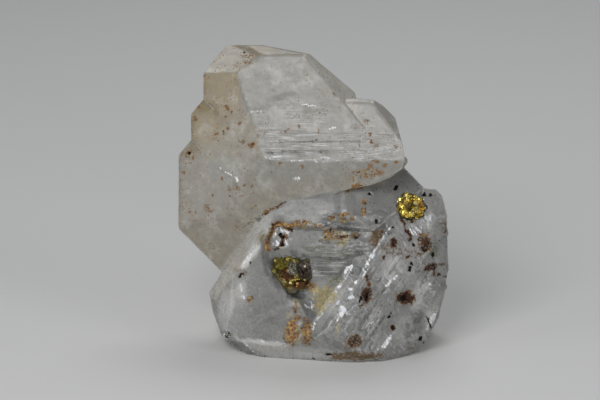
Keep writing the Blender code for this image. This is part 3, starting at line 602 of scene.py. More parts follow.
RIM = Region(
    ((-23.2, 15.0), (-20.1, 20.3), (-15.1, 26.9), (-10.9, 32.5), (-7.9, 33.9), (-9.5, 28.4),
     (-11.4, 25.5), (-14.3, 22.4), (-18.5, 16.9), (-21.1, 13.2)),
    0.8,
)
PALE_BLOCK = Region(((-5.7, 35.6), (3.1, 35.6), (3.1, 30.8), (-5.7, 30.8)), 1.0)
CLEAR_SHOULDER = Region(
    ((13.0, 38.6), (18.0, 41.5), (21.5, 42.7), (25.6, 38.8), (23.6, 36.3), (17.0, 31.5), (12.6, 32.3)),
    1.2,
)
HOLLOW_FLOOR = Region(((-2.4, 25.2), (15.2, 26.0), (13.4, 18.9), (-2.4, 18.9)), 1.2)
HOLLOW_EDGE = Region(
    ((-10.1, 26.8), (-7.9, 26.8), (-6.2, 22.4), (-1.9, 16.9), (-3.1, 13.6), (-5.7, 15.2), (-8.6, 17.4),
     (-9.9, 22.0)),
    1.2,
)
DARK_VALLEY = Region(((-3.3, 14.3), (0.3, 14.1), (1.5, 4.8), (-1.3, 5.3)), 0.9)
LOW_LEFT_TRIANGLE = Region(((-19.3, 4.8), (-15.6, 4.6), (-11.2, 1.0), (-16.0, 1.4)), 0.6)
BOTTOM_WEDGE = Region(((-15.6, 4.6), (-2.4, 3.5), (7.5, 2.6), (7.5, 0.8), (-9.0, 0.8)), 0.6)
LEDGE_AREA = Region(
    ((1.1, 2.9), (9.0, 21.8), (14.3, 27.9), (19.6, 33.0), (30.9, 33.0), (31.6, 20.2), (30.0, 10.4),
     (26.2, 3.8), (22.2, 1.0), (13.0, 0.6)),
    1.5,
)
BROKEN_BAND = Region(((2.0, 33.0), (16.3, 33.3), (18.4, 28.6), (13.4, 24.0), (7.5, 23.0), (2.0, 26.8)), 1.5)
SHATTERED = Region(((4.8, 13.6), (9.0, 22.0), (10.3, 13.6), (7.5, 5.9), (3.1, 3.7)), 1.2)
LEFT_FRONT = Region(
    ((-21.1, 13.2), (-14.3, 22.4), (-9.9, 22.0), (-8.6, 17.4), (-3.1, 13.6), (-1.3, 5.3), (-15.6, 4.6),
     (-19.5, 7.0)),
    1.0,
)
LOWER_CRYSTAL = Region(
    ((-23.2, 15.0), (-15.1, 26.9), (-10.9, 32.5), (-5.9, 35.4), (3.8, 37.4), (15.7, 39.0),
     (20.5, 42.7), (32.0, 40.0), (32.0, -2.0), (-24.0, -2.0)),
    0.6,
)
CHIPPED_CRACKS = Region(((21.0, 11.0), (24.2, 11.5), (24.8, 4.0), (20.5, 3.6)), 1.2)


class Guide(Enum):
    """What a layer follows where it is strong in one part of its region and weak in another."""

    WIDE_NOISE = "wide"
    MEDIUM_NOISE = "medium"
    LEFTWARD = "leftward"


@dataclass(frozen=True)
class Area:
    """A region that a layer covers, how strongly, and what it follows from low, at 0, to high, at full."""

    region: Region
    strength: float
    guide: Guide | None = None
    low: float = 0.0
    high: float = 1.0
    wandering: bool = False


AREAS: dict[Tone, tuple[Area, ...]] = {
    Tone.WARM: (
        Area(UPPER_LEFT_FACE, 0.55),
        Area(RIGHT_BEVEL, 0.12),
        Area(MIDDLE_FACE, 0.16),
        Area(LEFT_LOW_FACE, 0.25),
        Area(RIM, 0.45, Guide.LEFTWARD, 10, 15),
    ),
    Tone.MILKY_AND_HIGHLIGHT: (
        Area(UPPER_LEFT_FACE, 0.54),
        Area(RIGHT_BEVEL, 0.24),
        Area(RIM, 0.42),
        Area(PALE_BLOCK, 0.20),
        Area(GIRDLE, 0.22),
        Area(BOTTOM_WEDGE, 0.30),
        Area(LEFT_FRONT, 0.22, Guide.LEFTWARD, 10, 18),
    ),
    # Darker clear calcite, and painted shade in the hollow, on its edge, in the valley and on the low left
    # facet.
    Tone.CLEAR_AND_SHADE: (
        Area(CLEAR_SHOULDER, 0.32, wandering=True),
        Area(HOLLOW_FLOOR, 0.62, Guide.MEDIUM_NOISE, -0.6, 0.3, wandering=True),
        Area(HOLLOW_EDGE, 0.47, wandering=True),
        Area(DARK_VALLEY, 0.36),
        Area(LOW_LEFT_TRIANGLE, 0.45),
        Area(BROKEN_BAND, 0.60, Guide.MEDIUM_NOISE, -0.2, 0.5, wandering=True),
        Area(CHIPPED_CRACKS, 0.60, Guide.MEDIUM_NOISE, -0.3, 0.4, wandering=True),
        Area(SUNKEN_PATCH, 0.16),
        Area(LEDGE_AREA, 0.32, Guide.WIDE_NOISE, -0.4, 0.5),
        Area(LEFT_LOW_FACE, 0.16),
    ),
}
SPECKLED: tuple[Area, ...] = (
    Area(LEFT_FACE, 0.40),
    Area(LEFT_LOW_FACE, 0.34, Guide.MEDIUM_NOISE, -0.3, 0.6),
    Area(UPPER_LEFT_FACE, 0.55, Guide.MEDIUM_NOISE, -0.1, 0.6),
)
STRIATED = Area(ABOVE_GIRDLE, 0.34, Guide.MEDIUM_NOISE, -0.5, 0.6)
BLENDED = (LEFT_FACE, LEFT_LOW_FACE, UNDER_GIRDLE, LEFT_FRONT, HOLLOW_EDGE)


@dataclass
class FineMesh:
    """A fine triangle mesh in display millimetres, with its crisp inward edges and its outward ridges."""

    points: Points
    triangles: np.ndarray
    creases: np.ndarray
    ridges: np.ndarray

    def triangle_normals(self) -> Points:
        """The outward directions of the triangles, each as long as twice its area."""
        corners = self.points[self.triangles]
        return np.cross(corners[:, 1] - corners[:, 0], corners[:, 2] - corners[:, 0])

    def point_normals(self) -> Points:
        """The outward direction at each point.

        Returns:
            Points: unit directions, the average of the triangles round each point.
        """
        flat = self.triangle_normals()
        total = np.zeros_like(self.points)
        for corner in range(3):
            np.add.at(total, self.triangles[:, corner], flat)
        return total / np.maximum(np.linalg.norm(total, axis=1), 1e-12)[:, None]

    def ridge_distance(self) -> Values:
        """How far each point is from the nearest ridge.

        Returns:
            Values: the distances in millimetres.
        """
        tree = kdtree.KDTree(len(self.ridges))
        for place, index in enumerate(self.ridges):
            tree.insert(self.points[index], place)
        tree.balance()
        return np.array([tree.find(point)[2] for point in self.points])

    def relax(self, amount: Values, rounds: int, share: float = 0.6) -> None:
        """Evens out the surface, and drops the crisp edges there.

        Args:
            amount (Values): how much each point follows its neighbours, from 0 to 1.
            rounds (int): how often.
            share (float): how far a point goes towards its neighbours' middle in one round.
        """
        ends = np.concatenate([self.triangles[:, list(pair)] for pair in ((0, 1), (1, 2), (2, 0))])
        size = len(self.points)
        tally = np.maximum(np.bincount(ends[:, 0], minlength=size), 1)
        for _ in range(rounds):
            total = [np.bincount(ends[:, 0], self.points[ends[:, 1], axis], size) for axis in range(3)]
            middle = np.stack(total, axis=1) / tally[:, None]
            self.points += (middle - self.points) * (share * amount)[:, None]
        if len(self.creases):
            self.creases = self.creases[amount[self.creases].max(axis=1) < 0.5]

    def to_object(
        self, name: str, side: DisplaySide, tones: dict[str, Values], smooth: bool = True
    ) -> bpy.types.Object:
        """Makes the Blender object in the shared frame.

        Args:
            name (str): the piece's name.
            side (DisplaySide): where the display side lies.
            tones (dict[str, Values]): a number per point for each named layer.
            smooth (bool): whether faces are shaded smooth between the crisp edges.

        Returns:
            bpy.types.Object: the new object, in the scene's collection.
        """
        mesh = bpy.data.meshes.new(name)
        mesh.from_pydata(side.to_row(self.points).tolist(), [], self.triangles.tolist())
        mesh.polygons.foreach_set("use_smooth", np.full(len(self.triangles), smooth))
        if smooth and len(self.creases):
            crisp = {tuple(sorted(pair)) for pair in self.creases.tolist()}
            ends = np.zeros(len(mesh.edges) * 2, np.int32)
            mesh.edges.foreach_get("vertices", ends)
            flags = np.array([tuple(sorted(pair)) in crisp for pair in ends.reshape(-1, 2).tolist()])
            layer = mesh.attributes.new("sharp_edge", "BOOLEAN", "EDGE")
            layer.data.foreach_set("value", flags)
        for tone, values in tones.items():
            layer = mesh.attributes.new(tone, "FLOAT", "POINT")
            layer.data.foreach_set("value", np.clip(values, 0, 1).astype(np.float32))
        mesh.validate()
        mesh.update()
        piece = bpy.data.objects.new(name, mesh)
        bpy.context.scene.collection.objects.link(piece)
        return piece


@dataclass
class FacetMesher:
    """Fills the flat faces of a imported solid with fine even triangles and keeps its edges.

    Steps are the widths of the triangles, in millimetres, on the display side and elsewhere.
    """

    side: DisplaySide
    front_step: float
    back_step: float
    flat_deg: float = 0.2
    crisp_deg: float = 9.0
    ridge_deg: float = 25.0
    jitter: float = 0.2
    merge: float = 1e-6
    faces_back_from: float = 0.1
    rng: np.random.Generator = field(default_factory=lambda: np.random.default_rng(Seed.GRID))

    def opened(self, source: bpy.types.Mesh) -> bmesh.types.BMesh:
        """A copy of a solid's mesh with each flat face in one piece.

        Args:
            source (bpy.types.Mesh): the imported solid's mesh, which is left as it is.

        Returns:
            bmesh.types.BMesh: the copy.
        """
        bm = bmesh.new()
        bm.from_mesh(source)
        bmesh.ops.remove_doubles(bm, verts=bm.verts[:], dist=self.merge)
        limit = math.radians(self.flat_deg)
        bmesh.ops.dissolve_limit(bm, angle_limit=limit, verts=bm.verts[:], edges=bm.edges[:])
        for items in (bm.verts, bm.edges, bm.faces):
            items.index_update()
        bm.normal_update()
        return bm

    def fill(self, source: bpy.types.Mesh) -> FineMesh:
        """Makes the fine mesh of a solid.

        Args:
            source (bpy.types.Mesh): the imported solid's mesh, which is left as it is.

        Returns:
            FineMesh: the fine mesh.
        """
        bm = self.opened(source)
        turn = self.side.turn()
        corners = self.side.from_row(np.array([vertex.co[:] for vertex in bm.verts]))
        behind = [(np.array(face.normal) @ turn)[1] >= self.faces_back_from for face in bm.faces]
        steps = [self.back_step if hidden else self.front_step for hidden in behind]
        points = [corners]
        count = len(corners)
        splits: list[list[int]] = []
        creases: list[tuple[int, int]] = []
        ridges: list[int] = []
        for edge in bm.edges:
            start, end = (vertex.index for vertex in edge.verts)
            step = min(steps[face.index] for face in edge.link_faces)
            parts = max(1, round(float(np.linalg.norm(corners[end] - corners[start])) / step))
            shares = np.arange(1, parts) / parts
            points.append(corners[start] + shares[:, None] * (corners[end] - corners[start]))
            splits.append(list(range(count, count + parts - 1)))
            count += parts - 1
            chain = [start, *splits[-1], end]
            if edge.calc_face_angle_signed(0.0) < -math.radians(self.crisp_deg):
                creases += zip(chain[:-1], chain[1:])
            elif edge.calc_face_angle(0.0) > math.radians(self.ridge_deg):
                ridges += chain
        outlines = np.concatenate(points)
        points = [outlines]
        triangles: list[np.ndarray] = []
        for face in bm.faces:
            ring: list[int] = []
            for loop in face.loops:
                inner = splits[loop.edge.index]
                forward = loop.edge.verts[0] == loop.vert
                ring += [loop.vert.index, *(inner if forward else reversed(inner))]
            normal = np.array(face.normal) @ turn
            extra, filled = self.fill_face(normal, ring, outlines, count, steps[face.index])
            points.append(extra)
            count += len(extra)
            triangles.append(filled)
        bm.free()
        return FineMesh(
            np.concatenate(points), np.concatenate(triangles), np.array(creases), np.unique(ridges)
        )

    def fill_face(
        self, normal: np.ndarray, ring: list[int], places: Points, count: int, step: float
    ) -> tuple[Points, np.ndarray]:
        """Fills one flat face.

        Args:
            normal (np.ndarray): the face's outward direction on the display side.
            ring (list[int]): its outline, as numbers of points.
            places (Points): the points that the numbers refer to.
            count (int): the number that the next new point gets.
            step (float): the width of its triangles.

        Returns:
            tuple[Points, np.ndarray]: the new points, and the triangles as numbers of points.
        """
        across = np.cross(normal, (0.0, 0.0, 1.0) if abs(normal[2]) < 0.9 else (1.0, 0.0, 0.0))
        across /= np.linalg.norm(across)
        up = np.cross(normal, across)
        middle = places[ring[0]]
        flat = (places[ring] - middle) @ np.stack([across, up], axis=1)
        inner = self.grid_inside(flat, step)
        wanted = [Vector(place) for place in np.concatenate([flat, inner]).tolist()]
        result = geometry.delaunay_2d_cdt(wanted, [], [list(range(len(flat)))], 1, 1e-7)
        sources = result[3]
        if any(len(source) == 0 for source in sources):
            LOG.warning("a face of %d points is left plain", len(ring))
            plain = geometry.tessellate_polygon([[Vector((*place, 0.0)) for place in flat.tolist()]])
            return np.zeros((0, 3)), np.array([[ring[k] for k in corners] for corners in plain])
        numbers = np.array(ring + list(range(count, count + len(inner))))
        lookup = np.array([source[0] for source in sources])
        corners = numbers[lookup[np.array(result[2])]]
        keep = np.all(corners != np.roll(corners, -1, axis=1), axis=1)
        return middle + inner @ np.stack([across, up]), corners[keep]

    def grid_inside(self, flat: Points, step: float) -> Points:
        """Points of a slightly uneven triangular grid inside an outline.

        Args:
            flat (Points): the outline's points.
            step (float): how far apart the grid's points are.

        Returns:
            Points: the points that are inside and not too close to the outline.
        """
        low = flat.min(axis=0)
        high = flat.max(axis=0)
        if min(high - low) < step * 0.9:
            return np.zeros((0, 2))
        rows = np.arange(low[1], high[1], step * 0.866)
        columns = np.arange(low[0], high[0] + step, step)
        grid = np.stack(np.meshgrid(columns, rows), axis=-1)
        grid[1::2, :, 0] += step / 2
        grid = grid.reshape(-1, 2)
        grid += self.rng.uniform(-self.jitter, self.jitter, grid.shape) * step
        nearest = np.full(len(grid), np.inf)
        for middle in (flat + np.roll(flat, -1, axis=0)) / 2:
            close = np.abs(grid - middle).max(axis=1) < step * 1.6
            gap = np.linalg.norm(grid[close] - middle, axis=1)
            nearest[close] = np.minimum(nearest[close], gap)
        return grid[inside_outline(grid, flat) & (nearest > step * 0.62)]


class Shade:
    """Builds a material's nodes, with places in display millimetres."""

    def __init__(self, name: str, side: DisplaySide) -> None:
        """Starts a material.

        Args:
            name (str): the material's name.
            side (DisplaySide): where the display side lies.
        """
        self.material = bpy.data.materials.new(name)
        self.material.use_nodes = True
        self.tree = self.material.node_tree
        self.shader = self.tree.nodes["Principled BSDF"]
        self.output = self.tree.nodes["Material Output"]
        steps = {
            "Location": tuple(Vector(side.origin_mm) * MM),
            "Rotation": (-math.radians(side.lean_deg), 0.0, 0.0),
            "Scale": (MM, MM, MM),
            "Vector": self.node("ShaderNodeTexCoord", {}).outputs["Object"],
        }
        self.place = self.node("ShaderNodeMapping", steps, vector_type="TEXTURE").outputs["Vector"]

    def node(self, kind: str, inputs: dict[str, Input], **settings: str | bool) -> bpy.types.Node:
        """Adds a node.

        Args:
            kind (str): Blender's name for the kind of node.
            inputs (dict[str, Input]): what its sockets take, by their identifiers.
            **settings (str | bool): the node's own settings.

        Returns:
            bpy.types.Node: the node.
        """
        node = self.tree.nodes.new(kind)
        for setting, value in settings.items():
            setattr(node, setting, value)
        for socket in node.inputs:
            if socket.identifier in inputs:
                self.feed(socket, inputs[socket.identifier])
        return node

    def feed(self, socket: Socket, value: Input) -> None:
        """Links a node's output to a socket, or sets the socket's own value.

        Args:
            socket (Socket): the socket that takes the value.
            value (Input): a node's output, a number or a colour.
        """
        if isinstance(value, Socket):
            self.tree.links.new(value, socket)
        else:
            socket.default_value = (*value, 1.0) if socket.type == "RGBA" else value

    def set(self, name: str, value: Input) -> None:
        """Sets one of the shader's own sockets, or links a node's output to it."""
        self.feed(self.shader.inputs[name], value)

    def stretched(self, scale: Triple, turn_deg: float = 0.0) -> Socket:
        """Places turned in the display side and then stretched.

        Args:
            scale (Triple): how many pattern widths there are per millimetre.
            turn_deg (float): the turn of the long direction above the level.

        Returns:
            Socket: the new places.
        """
        inputs = {"Angle": math.radians(turn_deg), "Vector": self.place}
        turned = self.node("ShaderNodeVectorRotate", inputs, rotation_type="Y_AXIS").outputs["Vector"]
        return self.node("ShaderNodeMapping", {"Scale": scale, "Vector": turned}).outputs["Vector"]

    def noise(
        self, scale: float, detail: float = 4.0, rough: float = 0.6, place: Socket | None = None
    ) -> Socket:
        """Smooth noise.

        Args:
            scale (float): how many lumps there are per millimetre.
            detail (float): how many finer layers it has.
            rough (float): how strong the finer layers are, from 0 to 1.
            place (Socket | None): where to read it, if not in plain millimetres.

        Returns:
            Socket: numbers from 0 to 1.
        """
        inputs = {"Scale": scale, "Detail": detail, "Roughness": rough, "Vector": place or self.place}
        return self.node("ShaderNodeTexNoise", inputs).outputs["Fac"]

    def cells(self, scale: float) -> bpy.types.Node:
        """A pattern of irregular cells, with scale in cells per millimetre."""
        return self.node("ShaderNodeTexVoronoi", {"Scale": scale, "Vector": self.place})

    def tone(self, name: str) -> Socket:
        """A layer of the mesh, by its name."""
        return self.node("ShaderNodeAttribute", {}, attribute_name=name).outputs["Fac"]

    def math(self, operation: str, first: Input, second: Input, clamp: bool = False) -> Socket:
        """One sum on two values.

        Args:
            operation (str): Blender's name for the sum.
            first (Input): a number or a node's output.
            second (Input): the same.
            clamp (bool): whether the result is kept from 0 to 1.

        Returns:
            Socket: the result.
        """
        inputs = {"Value": first, "Value_001": second}
        return self.node("ShaderNodeMath", inputs, operation=operation, use_clamp=clamp).outputs["Value"]

    def plus(self, first: Input, second: Input, clamp: bool = False) -> Socket:
        """The sum of two values."""
        return self.math("ADD", first, second, clamp)

    def minus(self, first: Input, second: Input, clamp: bool = False) -> Socket:
        """The first value less the second."""
        return self.math("SUBTRACT", first, second, clamp)

    def times(self, first: Input, second: Input, clamp: bool = False) -> Socket:
        """The product of two values."""
        return self.math("MULTIPLY", first, second, clamp)

    def most(self, first: Input, second: Input) -> Socket:
        """The larger of two values."""
        return self.math("MAXIMUM", first, second)

    def less(self, first: Input, second: Input) -> Socket:
        """1 where the first value is less than the second, and 0 elsewhere."""
        return self.math("LESS_THAN", first, second)

    def weigh(self, first: Input, share: float, second: Input) -> Socket:
        """A share of the first value and the rest of the second."""
        return self.plus(self.times(first, share), self.times(second, round(1 - share, 6)))

    def swing(self, grain: Input, reach: Input) -> Socket:
        """Noise from 0 to 1 turned into a swing about 0, with a reach from end to end."""
        return self.times(self.minus(grain, 0.5), reach)

    def step(self, value: Input, low: float, high: float, to: tuple[float, float] = (0.0, 1.0)) -> Socket:
        """An eased change from one number to another.

        Args:
            value (Input): what it follows.
            low (float): the value where the change starts.
            high (float): the value where it ends.
            to (tuple[float, float]): the numbers that it goes from and to.

        Returns:
            Socket: the changing number.
        """
        inputs = {"Value": value, "From Min": low, "From Max": high, "To Min": to[0], "To Max": to[1]}
        return self.node("ShaderNodeMapRange", inputs, interpolation_type="SMOOTHSTEP").outputs["Result"]

    def mix(self, amount: Input, first: Input, second: Input) -> Socket:
        """Mixes two colours.

        Args:
            amount (Input): how much of the second there is, from 0 to 1.
            first (Input): a colour or a node's output.
            second (Input): the same.

        Returns:
            Socket: the mixed colour.
        """
        inputs = {"Factor_Float": amount, "A_Color": first, "B_Color": second}
        node = self.node("ShaderNodeMix", inputs, data_type="RGBA", clamp_factor=True)
        return next(item for item in node.outputs if item.identifier == "Result_Color")

    def bump(self, height: Socket, distance: float, below: Socket | None = None) -> Socket:
        """Fine relief, on top of another relief.

        Args:
            height (Socket): the relief, from 0 to 1.
            distance (float): how high it stands, in millimetres.
            below (Socket | None): the relief that it stands on.

        Returns:
            Socket: the bent normal.
        """
        inputs = {"Distance": distance * MM, "Height": height}
        if below is not None:
            inputs["Normal"] = below
        return self.node("ShaderNodeBump", inputs).outputs["Normal"]

    def uneven(self, amount: Input, grain: Socket, depth: float) -> Socket:
        """A layer that a grain makes stronger and weaker, by a depth."""
        return self.times(amount, self.plus(self.swing(grain, depth), 1.0), clamp=True)

    def broken(self, amount: Input, grain: Socket, edge: float, full: float = 2.8) -> Socket:
        """A layer broken up into flecks, which cover as much as the layer's number says.

        Args:
            amount (Input): the layer, from 0 to 1.
            grain (Socket): noise from 0 to 1.
            edge (float): how soft the flecks' edges are.
            full (float): how solid the layer is where it is strong.

        Returns:
            Socket: the broken layer, from 0 to 1.
        """
        contrast = 11.0
        flecks = self.plus(self.swing(grain, contrast), self.swing(amount, full))
        return self.times(self.step(flecks, -edge, edge), self.step(amount, 0.02, 0.14))


class CalciteShade(Shade):
    """The calcite's material, with the mesh's layers and the noise that its colour, haze and relief share.

    Mottle is wide, fine is fine, and ragged is fine and rough. Streaks are level. Slanting follows the
    cleavage, and hairs are its finest streaks.
    """

    def __init__(self, side: DisplaySide) -> None:
        """Starts the material.

        Args:
            side (DisplaySide): where the display side lies.
        """
        super().__init__("calcite", side)
        self.tones = {tone: self.tone(tone.value) for tone in Tone}
        self.mottle = self.noise(0.22, 5, 0.62)
        self.fine = self.noise(1.3, 6, 0.7)
        self.ragged = self.weigh(self.noise(1.7, 3, 0.6), 0.6, self.noise(5.0, 3, 0.6))
        self.streaks = self.noise(1.0, 6, 0.72, self.stretched((0.15, 1.4, 3.1)))
        narrow = self.noise(1.0, 5, 0.65, self.stretched((0.22, 1.4, 2.4), -CLEAVAGE_DEG))
        broad = self.noise(1.0, 4, 0.6, self.stretched((0.11, 0.5, 0.8), -CLEAVAGE_DEG - 6.0))
        self.slanting = self.weigh(narrow, 0.45, broad)
        self.hairs = self.noise(1.0, 3, 0.6, self.stretched((0.24, 2.2, 4.4), -CLEAVAGE_DEG))

    def by_crystal(self, upper: float, lower: float) -> Socket:
        """A number that changes from the upper crystals to the lower one."""
        return self.step(self.tones[Tone.GLASSY], 0.0, 1.0, (upper, lower))


@dataclass(frozen=True)
class CalciteFinish:
    """Hazy, partly see-through calcite with iron stains, painted glints and highlights, and painted shade.

    Specks are three sizes of grain: cells per millimetre, the grain's width in cells, and its share.
    """

    upper: Colour = (0.300, 0.290, 0.262)
    lower: Colour = (0.470, 0.470, 0.455)
    blue: Colour = (0.268, 0.265, 0.252)
    # Haze, and the colour of the painted highlights and the painted paler back.
    milky_and_highlight: Colour = (0.62, 0.615, 0.59)
    warm: Colour = (0.285, 0.224, 0.122)
    tan: Colour = (0.28, 0.20, 0.11)
    # Clear dark calcite, and the colour of painted shade in hollows and on faces turned from the light.
    clear_and_shade: Colour = (0.12, 0.122, 0.118)
    # Whitish chips, and the colour of painted glints on the girdle, the cleavage and the rim.
    white_and_glint: Colour = (0.84, 0.85, 0.87)
    rust: Colour = (0.040, 0.014, 0.005)
    rust_edge: Colour = (0.235, 0.115, 0.030)
    orange: Colour = (0.30, 0.140, 0.030)
    orange_edge: Colour = (0.055, 0.020, 0.006)
    ochre: Colour = (0.20, 0.17, 0.055)
    gold: Colour = (0.44, 0.32, 0.085)
    olive: Colour = (0.062, 0.066, 0.024)
    brown: Colour = (0.090, 0.050, 0.013)
    dark: Colour = (0.010, 0.007, 0.005)
    specks: tuple[Triple, ...] = ((1.15, 0.24, 1.0), (2.2, 0.34, 1.0), (3.3, 0.50, 0.34))
    see_through: float = 0.16
    see_through_lower: float = 0.62
    see_through_clear_and_shade: float = 0.75
    bend: float = 1.6
    specular: float = 0.4
    rough: float = 0.28
    rough_grain: float = 0.18
    rough_film: float = 0.22
    smooth_glassy: float = 0.04
    smooth_white_and_glint: float = 0.12
    glow: float = 0.6
    glow_radius: Colour = (1.0, 0.92, 0.82)
    glow_scale: float = 0.0022
    calming: float = 0.9
    tint: Colour = (0.84, 0.85, 0.84)
    tint_per_metre: float = 22.0

    def build(self, side: DisplaySide) -> bpy.types.Material:
        """Makes the material.

        Args:
            side (DisplaySide): where the display side lies.

        Returns:
            bpy.types.Material: the material.
        """
        shade = CalciteShade(side)
        tones = shade.tones
        # Whitish chips and painted glints, laid over the body's colour.
        white_and_glint = self.white_marks_and_glints(shade)
        colour = shade.mix(white_and_glint, self.body(shade), self.white_and_glint)
        colour, film, rust = self.stains(shade, colour)
        shade.set("Base Color", colour)

        through = shade.by_crystal(self.see_through, self.see_through_lower)
        through = shade.most(through, shade.times(tones[Tone.CLEAR_AND_SHADE], self.see_through_clear_and_shade))
        covered = shade.most(film, shade.most(white_and_glint, tones[Tone.MILKY_AND_HIGHLIGHT]))
        shade.set("Transmission Weight", shade.times(through, shade.minus(1.0, covered, clamp=True)))
        shade.set("IOR", self.bend)
        shade.set("Specular IOR Level", self.specular)

        restless = shade.minus(1.0, shade.times(tones[Tone.CALM], self.calming))
        rough = shade.times(shade.step(shade.fine, 0.3, 0.75, (0.0, self.rough_grain)), restless)
        rough = shade.plus(rough, self.rough)
        rough = shade.minus(rough, shade.times(tones[Tone.GLASSY], self.smooth_glassy))
        rough = shade.minus(rough, shade.times(white_and_glint, self.smooth_white_and_glint))
        shade.set("Roughness", shade.plus(rough, shade.times(film, self.rough_film), clamp=True))

        bare = shade.minus(1.0, film, clamp=True)
        shade.set("Subsurface Weight", shade.times(bare, self.glow))
        shade.set("Subsurface Radius", self.glow_radius)
        shade.set("Subsurface Scale", self.glow_scale)
        inputs = {"Color": self.tint, "Density": self.tint_per_metre}
        absorb = shade.node("ShaderNodeVolumeAbsorption", inputs)
        shade.feed(shade.output.inputs["Volume"], absorb.outputs["Volume"])

        relief = shade.bump(shade.times(shade.noise(2.0, 1, 0.5), restless), 0.006)
        relief = shade.bump(shade.times(shade.streaks, tones[Tone.GIRDLE]), 0.25, relief)
        relief = shade.bump(shade.times(shade.slanting, tones[Tone.LEDGES]), 0.11, relief)
        relief = shade.bump(shade.times(rust, shade.noise(7.0, 4, 0.6)), 0.12, relief)
        shade.set("Normal", relief)
        return shade.material

    def body(self, shade: CalciteShade) -> Socket:
        """The calcite's colour with its painted shade and painted highlights, before the whitish marks,
        painted glints and stains.

        Args:
            shade (CalciteShade): the material.

        Returns:
            Socket: the colour.
        """
        tones = shade.tones
        colour = shade.mix(tones[Tone.GLASSY], self.upper, self.lower)
        colour = shade.mix(tones[Tone.BLUE], colour, self.blue)
        colour = shade.mix(shade.uneven(tones[Tone.WARM], shade.fine, 2.5), colour, self.warm)
        veil = shade.step(shade.noise(0.30, 6, 0.66), 0.46, 0.72, (0.0, 0.6))
        veil = shade.times(veil, shade.by_crystal(0.6, 1.0))
        # Haze, which brings in the painted highlights and the painted paler back.
        milky_and_highlight = shade.most(veil, shade.uneven(tones[Tone.MILKY_AND_HIGHLIGHT], shade.mottle, 1.6))
        colour = shade.mix(milky_and_highlight, colour, self.milky_and_highlight)
        # Darker clear calcite, with painted shade in hollows and on faces turned from the light.
        colour = shade.mix(shade.uneven(tones[Tone.CLEAR_AND_SHADE], shade.mottle, 2.2), colour, self.clear_and_shade)
        bands = shade.times(tones[Tone.LEDGES], shade.step(shade.slanting, 0.49, 0.38, (0.0, 0.28)))
        colour = shade.mix(bands, colour, self.clear_and_shade)
        grain = shade.swing(shade.fine, shade.by_crystal(0.7, 0.2))
        clouds = shade.swing(shade.noise(0.5, 6, 0.68), 0.55)
        inputs = {"Color": colour, "Value": shade.plus(shade.plus(grain, clouds), 1.0)}
        return shade.node("ShaderNodeHueSaturation", inputs).outputs["Color"]

    @staticmethod
    def white_marks_and_glints(shade: CalciteShade) -> Socket:
        """Whitish chips, and painted glints: reflections along the girdle's striae and on the cleavage
        flakes.

        Args:
            shade (CalciteShade): the material.

        Returns:
            Socket: the amount of whitish chips and painted glints, from 0 to 1.
        """
        ledges = shade.tones[Tone.LEDGES]
        # Painted reflections along the girdle's striae.
        girdle_glints = shade.times(shade.tones[Tone.GIRDLE], shade.step(shade.streaks, 0.49, 0.64, (0.0, 0.9)))
        # Painted glints along the cleavage flakes.
        flakes = shade.times(ledges, shade.step(shade.slanting, 0.52, 0.68, (0.0, 0.45)))
        fine_flakes = shade.times(ledges, shade.step(shade.hairs, 0.57, 0.70, (0.0, 0.55)))
        chips_and_glints = shade.broken(shade.tones[Tone.WHITE], shade.weigh(shade.hairs, 0.6, shade.ragged), 0.6, 1.8)
        return shade.most(shade.most(girdle_glints, shade.most(flakes, fine_flakes)), chips_and_glints)

    def stains(self, shade: CalciteShade, colour: Socket) -> tuple[Socket, Socket, Socket]:
        """Films of iron oxide and other minerals on the calcite.

        Args:
            shade (CalciteShade): the material.
            colour (Socket): the calcite's colour.

        Returns:
            tuple[Socket, Socket, Socket]: the colour with its stains, how thick the films are, and where
                rust is.
        """
        tones, fine, ragged = shade.tones, shade.fine, shade.ragged
        grit = shade.noise(1.9, 3, 0.66)
        golden = shade.mix(shade.step(grit, 0.47, 0.59), self.ochre, self.gold)
        level = shade.noise(1.0, 5, 0.7, shade.stretched((0.5, 1.5, 3.0)))
        films = []
        for tone, shown, grain, edge, depth, full in (
            (Tone.BROWN, self.brown, ragged, 0.9, 0.96, 2.8),
            (Tone.OCHRE, golden, ragged, 0.7, 0.85, 1.8),
            (Tone.OLIVE, self.olive, shade.weigh(ragged, 0.4, level), 0.5, 0.75, 2.0),
        ):
            films.append(shade.broken(tones[tone], grain, edge, full))
            colour = shade.mix(shade.times(films[-1], depth), colour, shown)
        iron = shade.most(tones[Tone.RUST], tones[Tone.ORANGE])
        colour = shade.mix(shade.times(shade.uneven(iron, fine, 3.0), 0.35), colour, self.tan)

        orange = shade.broken(tones[Tone.ORANGE], ragged, 0.3, 1.9)
        flecked = shade.mix(shade.step(grit, 0.54, 0.60), self.orange, self.gold)
        shown = shade.mix(shade.step(grit, 0.49, 0.43), flecked, self.orange_edge)
        colour = shade.mix(orange, colour, shown)

        strong = shade.times(tones[Tone.RUST], shade.by_crystal(0.16, 0.37))
        thick = shade.step(shade.plus(shade.noise(3.4, 4, 0.7), strong), 0.62, 0.78)
        rust = shade.broken(tones[Tone.RUST], ragged, 0.3)
        colour = shade.mix(rust, colour, shade.mix(thick, self.rust_edge, self.rust))

        grains = self.scattered(shade, tones[Tone.SPECKS])
        shown = shade.mix(shade.step(fine, 0.54, 0.66), self.rust_edge, self.orange_edge)
        colour = shade.mix(grains, colour, shown)
        dark = shade.broken(tones[Tone.DARK], ragged, 0.3, 4.0)
        colour = shade.mix(dark, colour, self.dark)
        shade.set("Metallic", shade.most(shade.times(shade.times(rust, thick), 0.6), shade.times(dark, 0.9)))
        rust = shade.most(rust, orange)
        film = shade.most(shade.most(films[0], films[1]), films[2])
        return colour, shade.most(shade.most(film, rust), shade.most(dark, grains)), rust

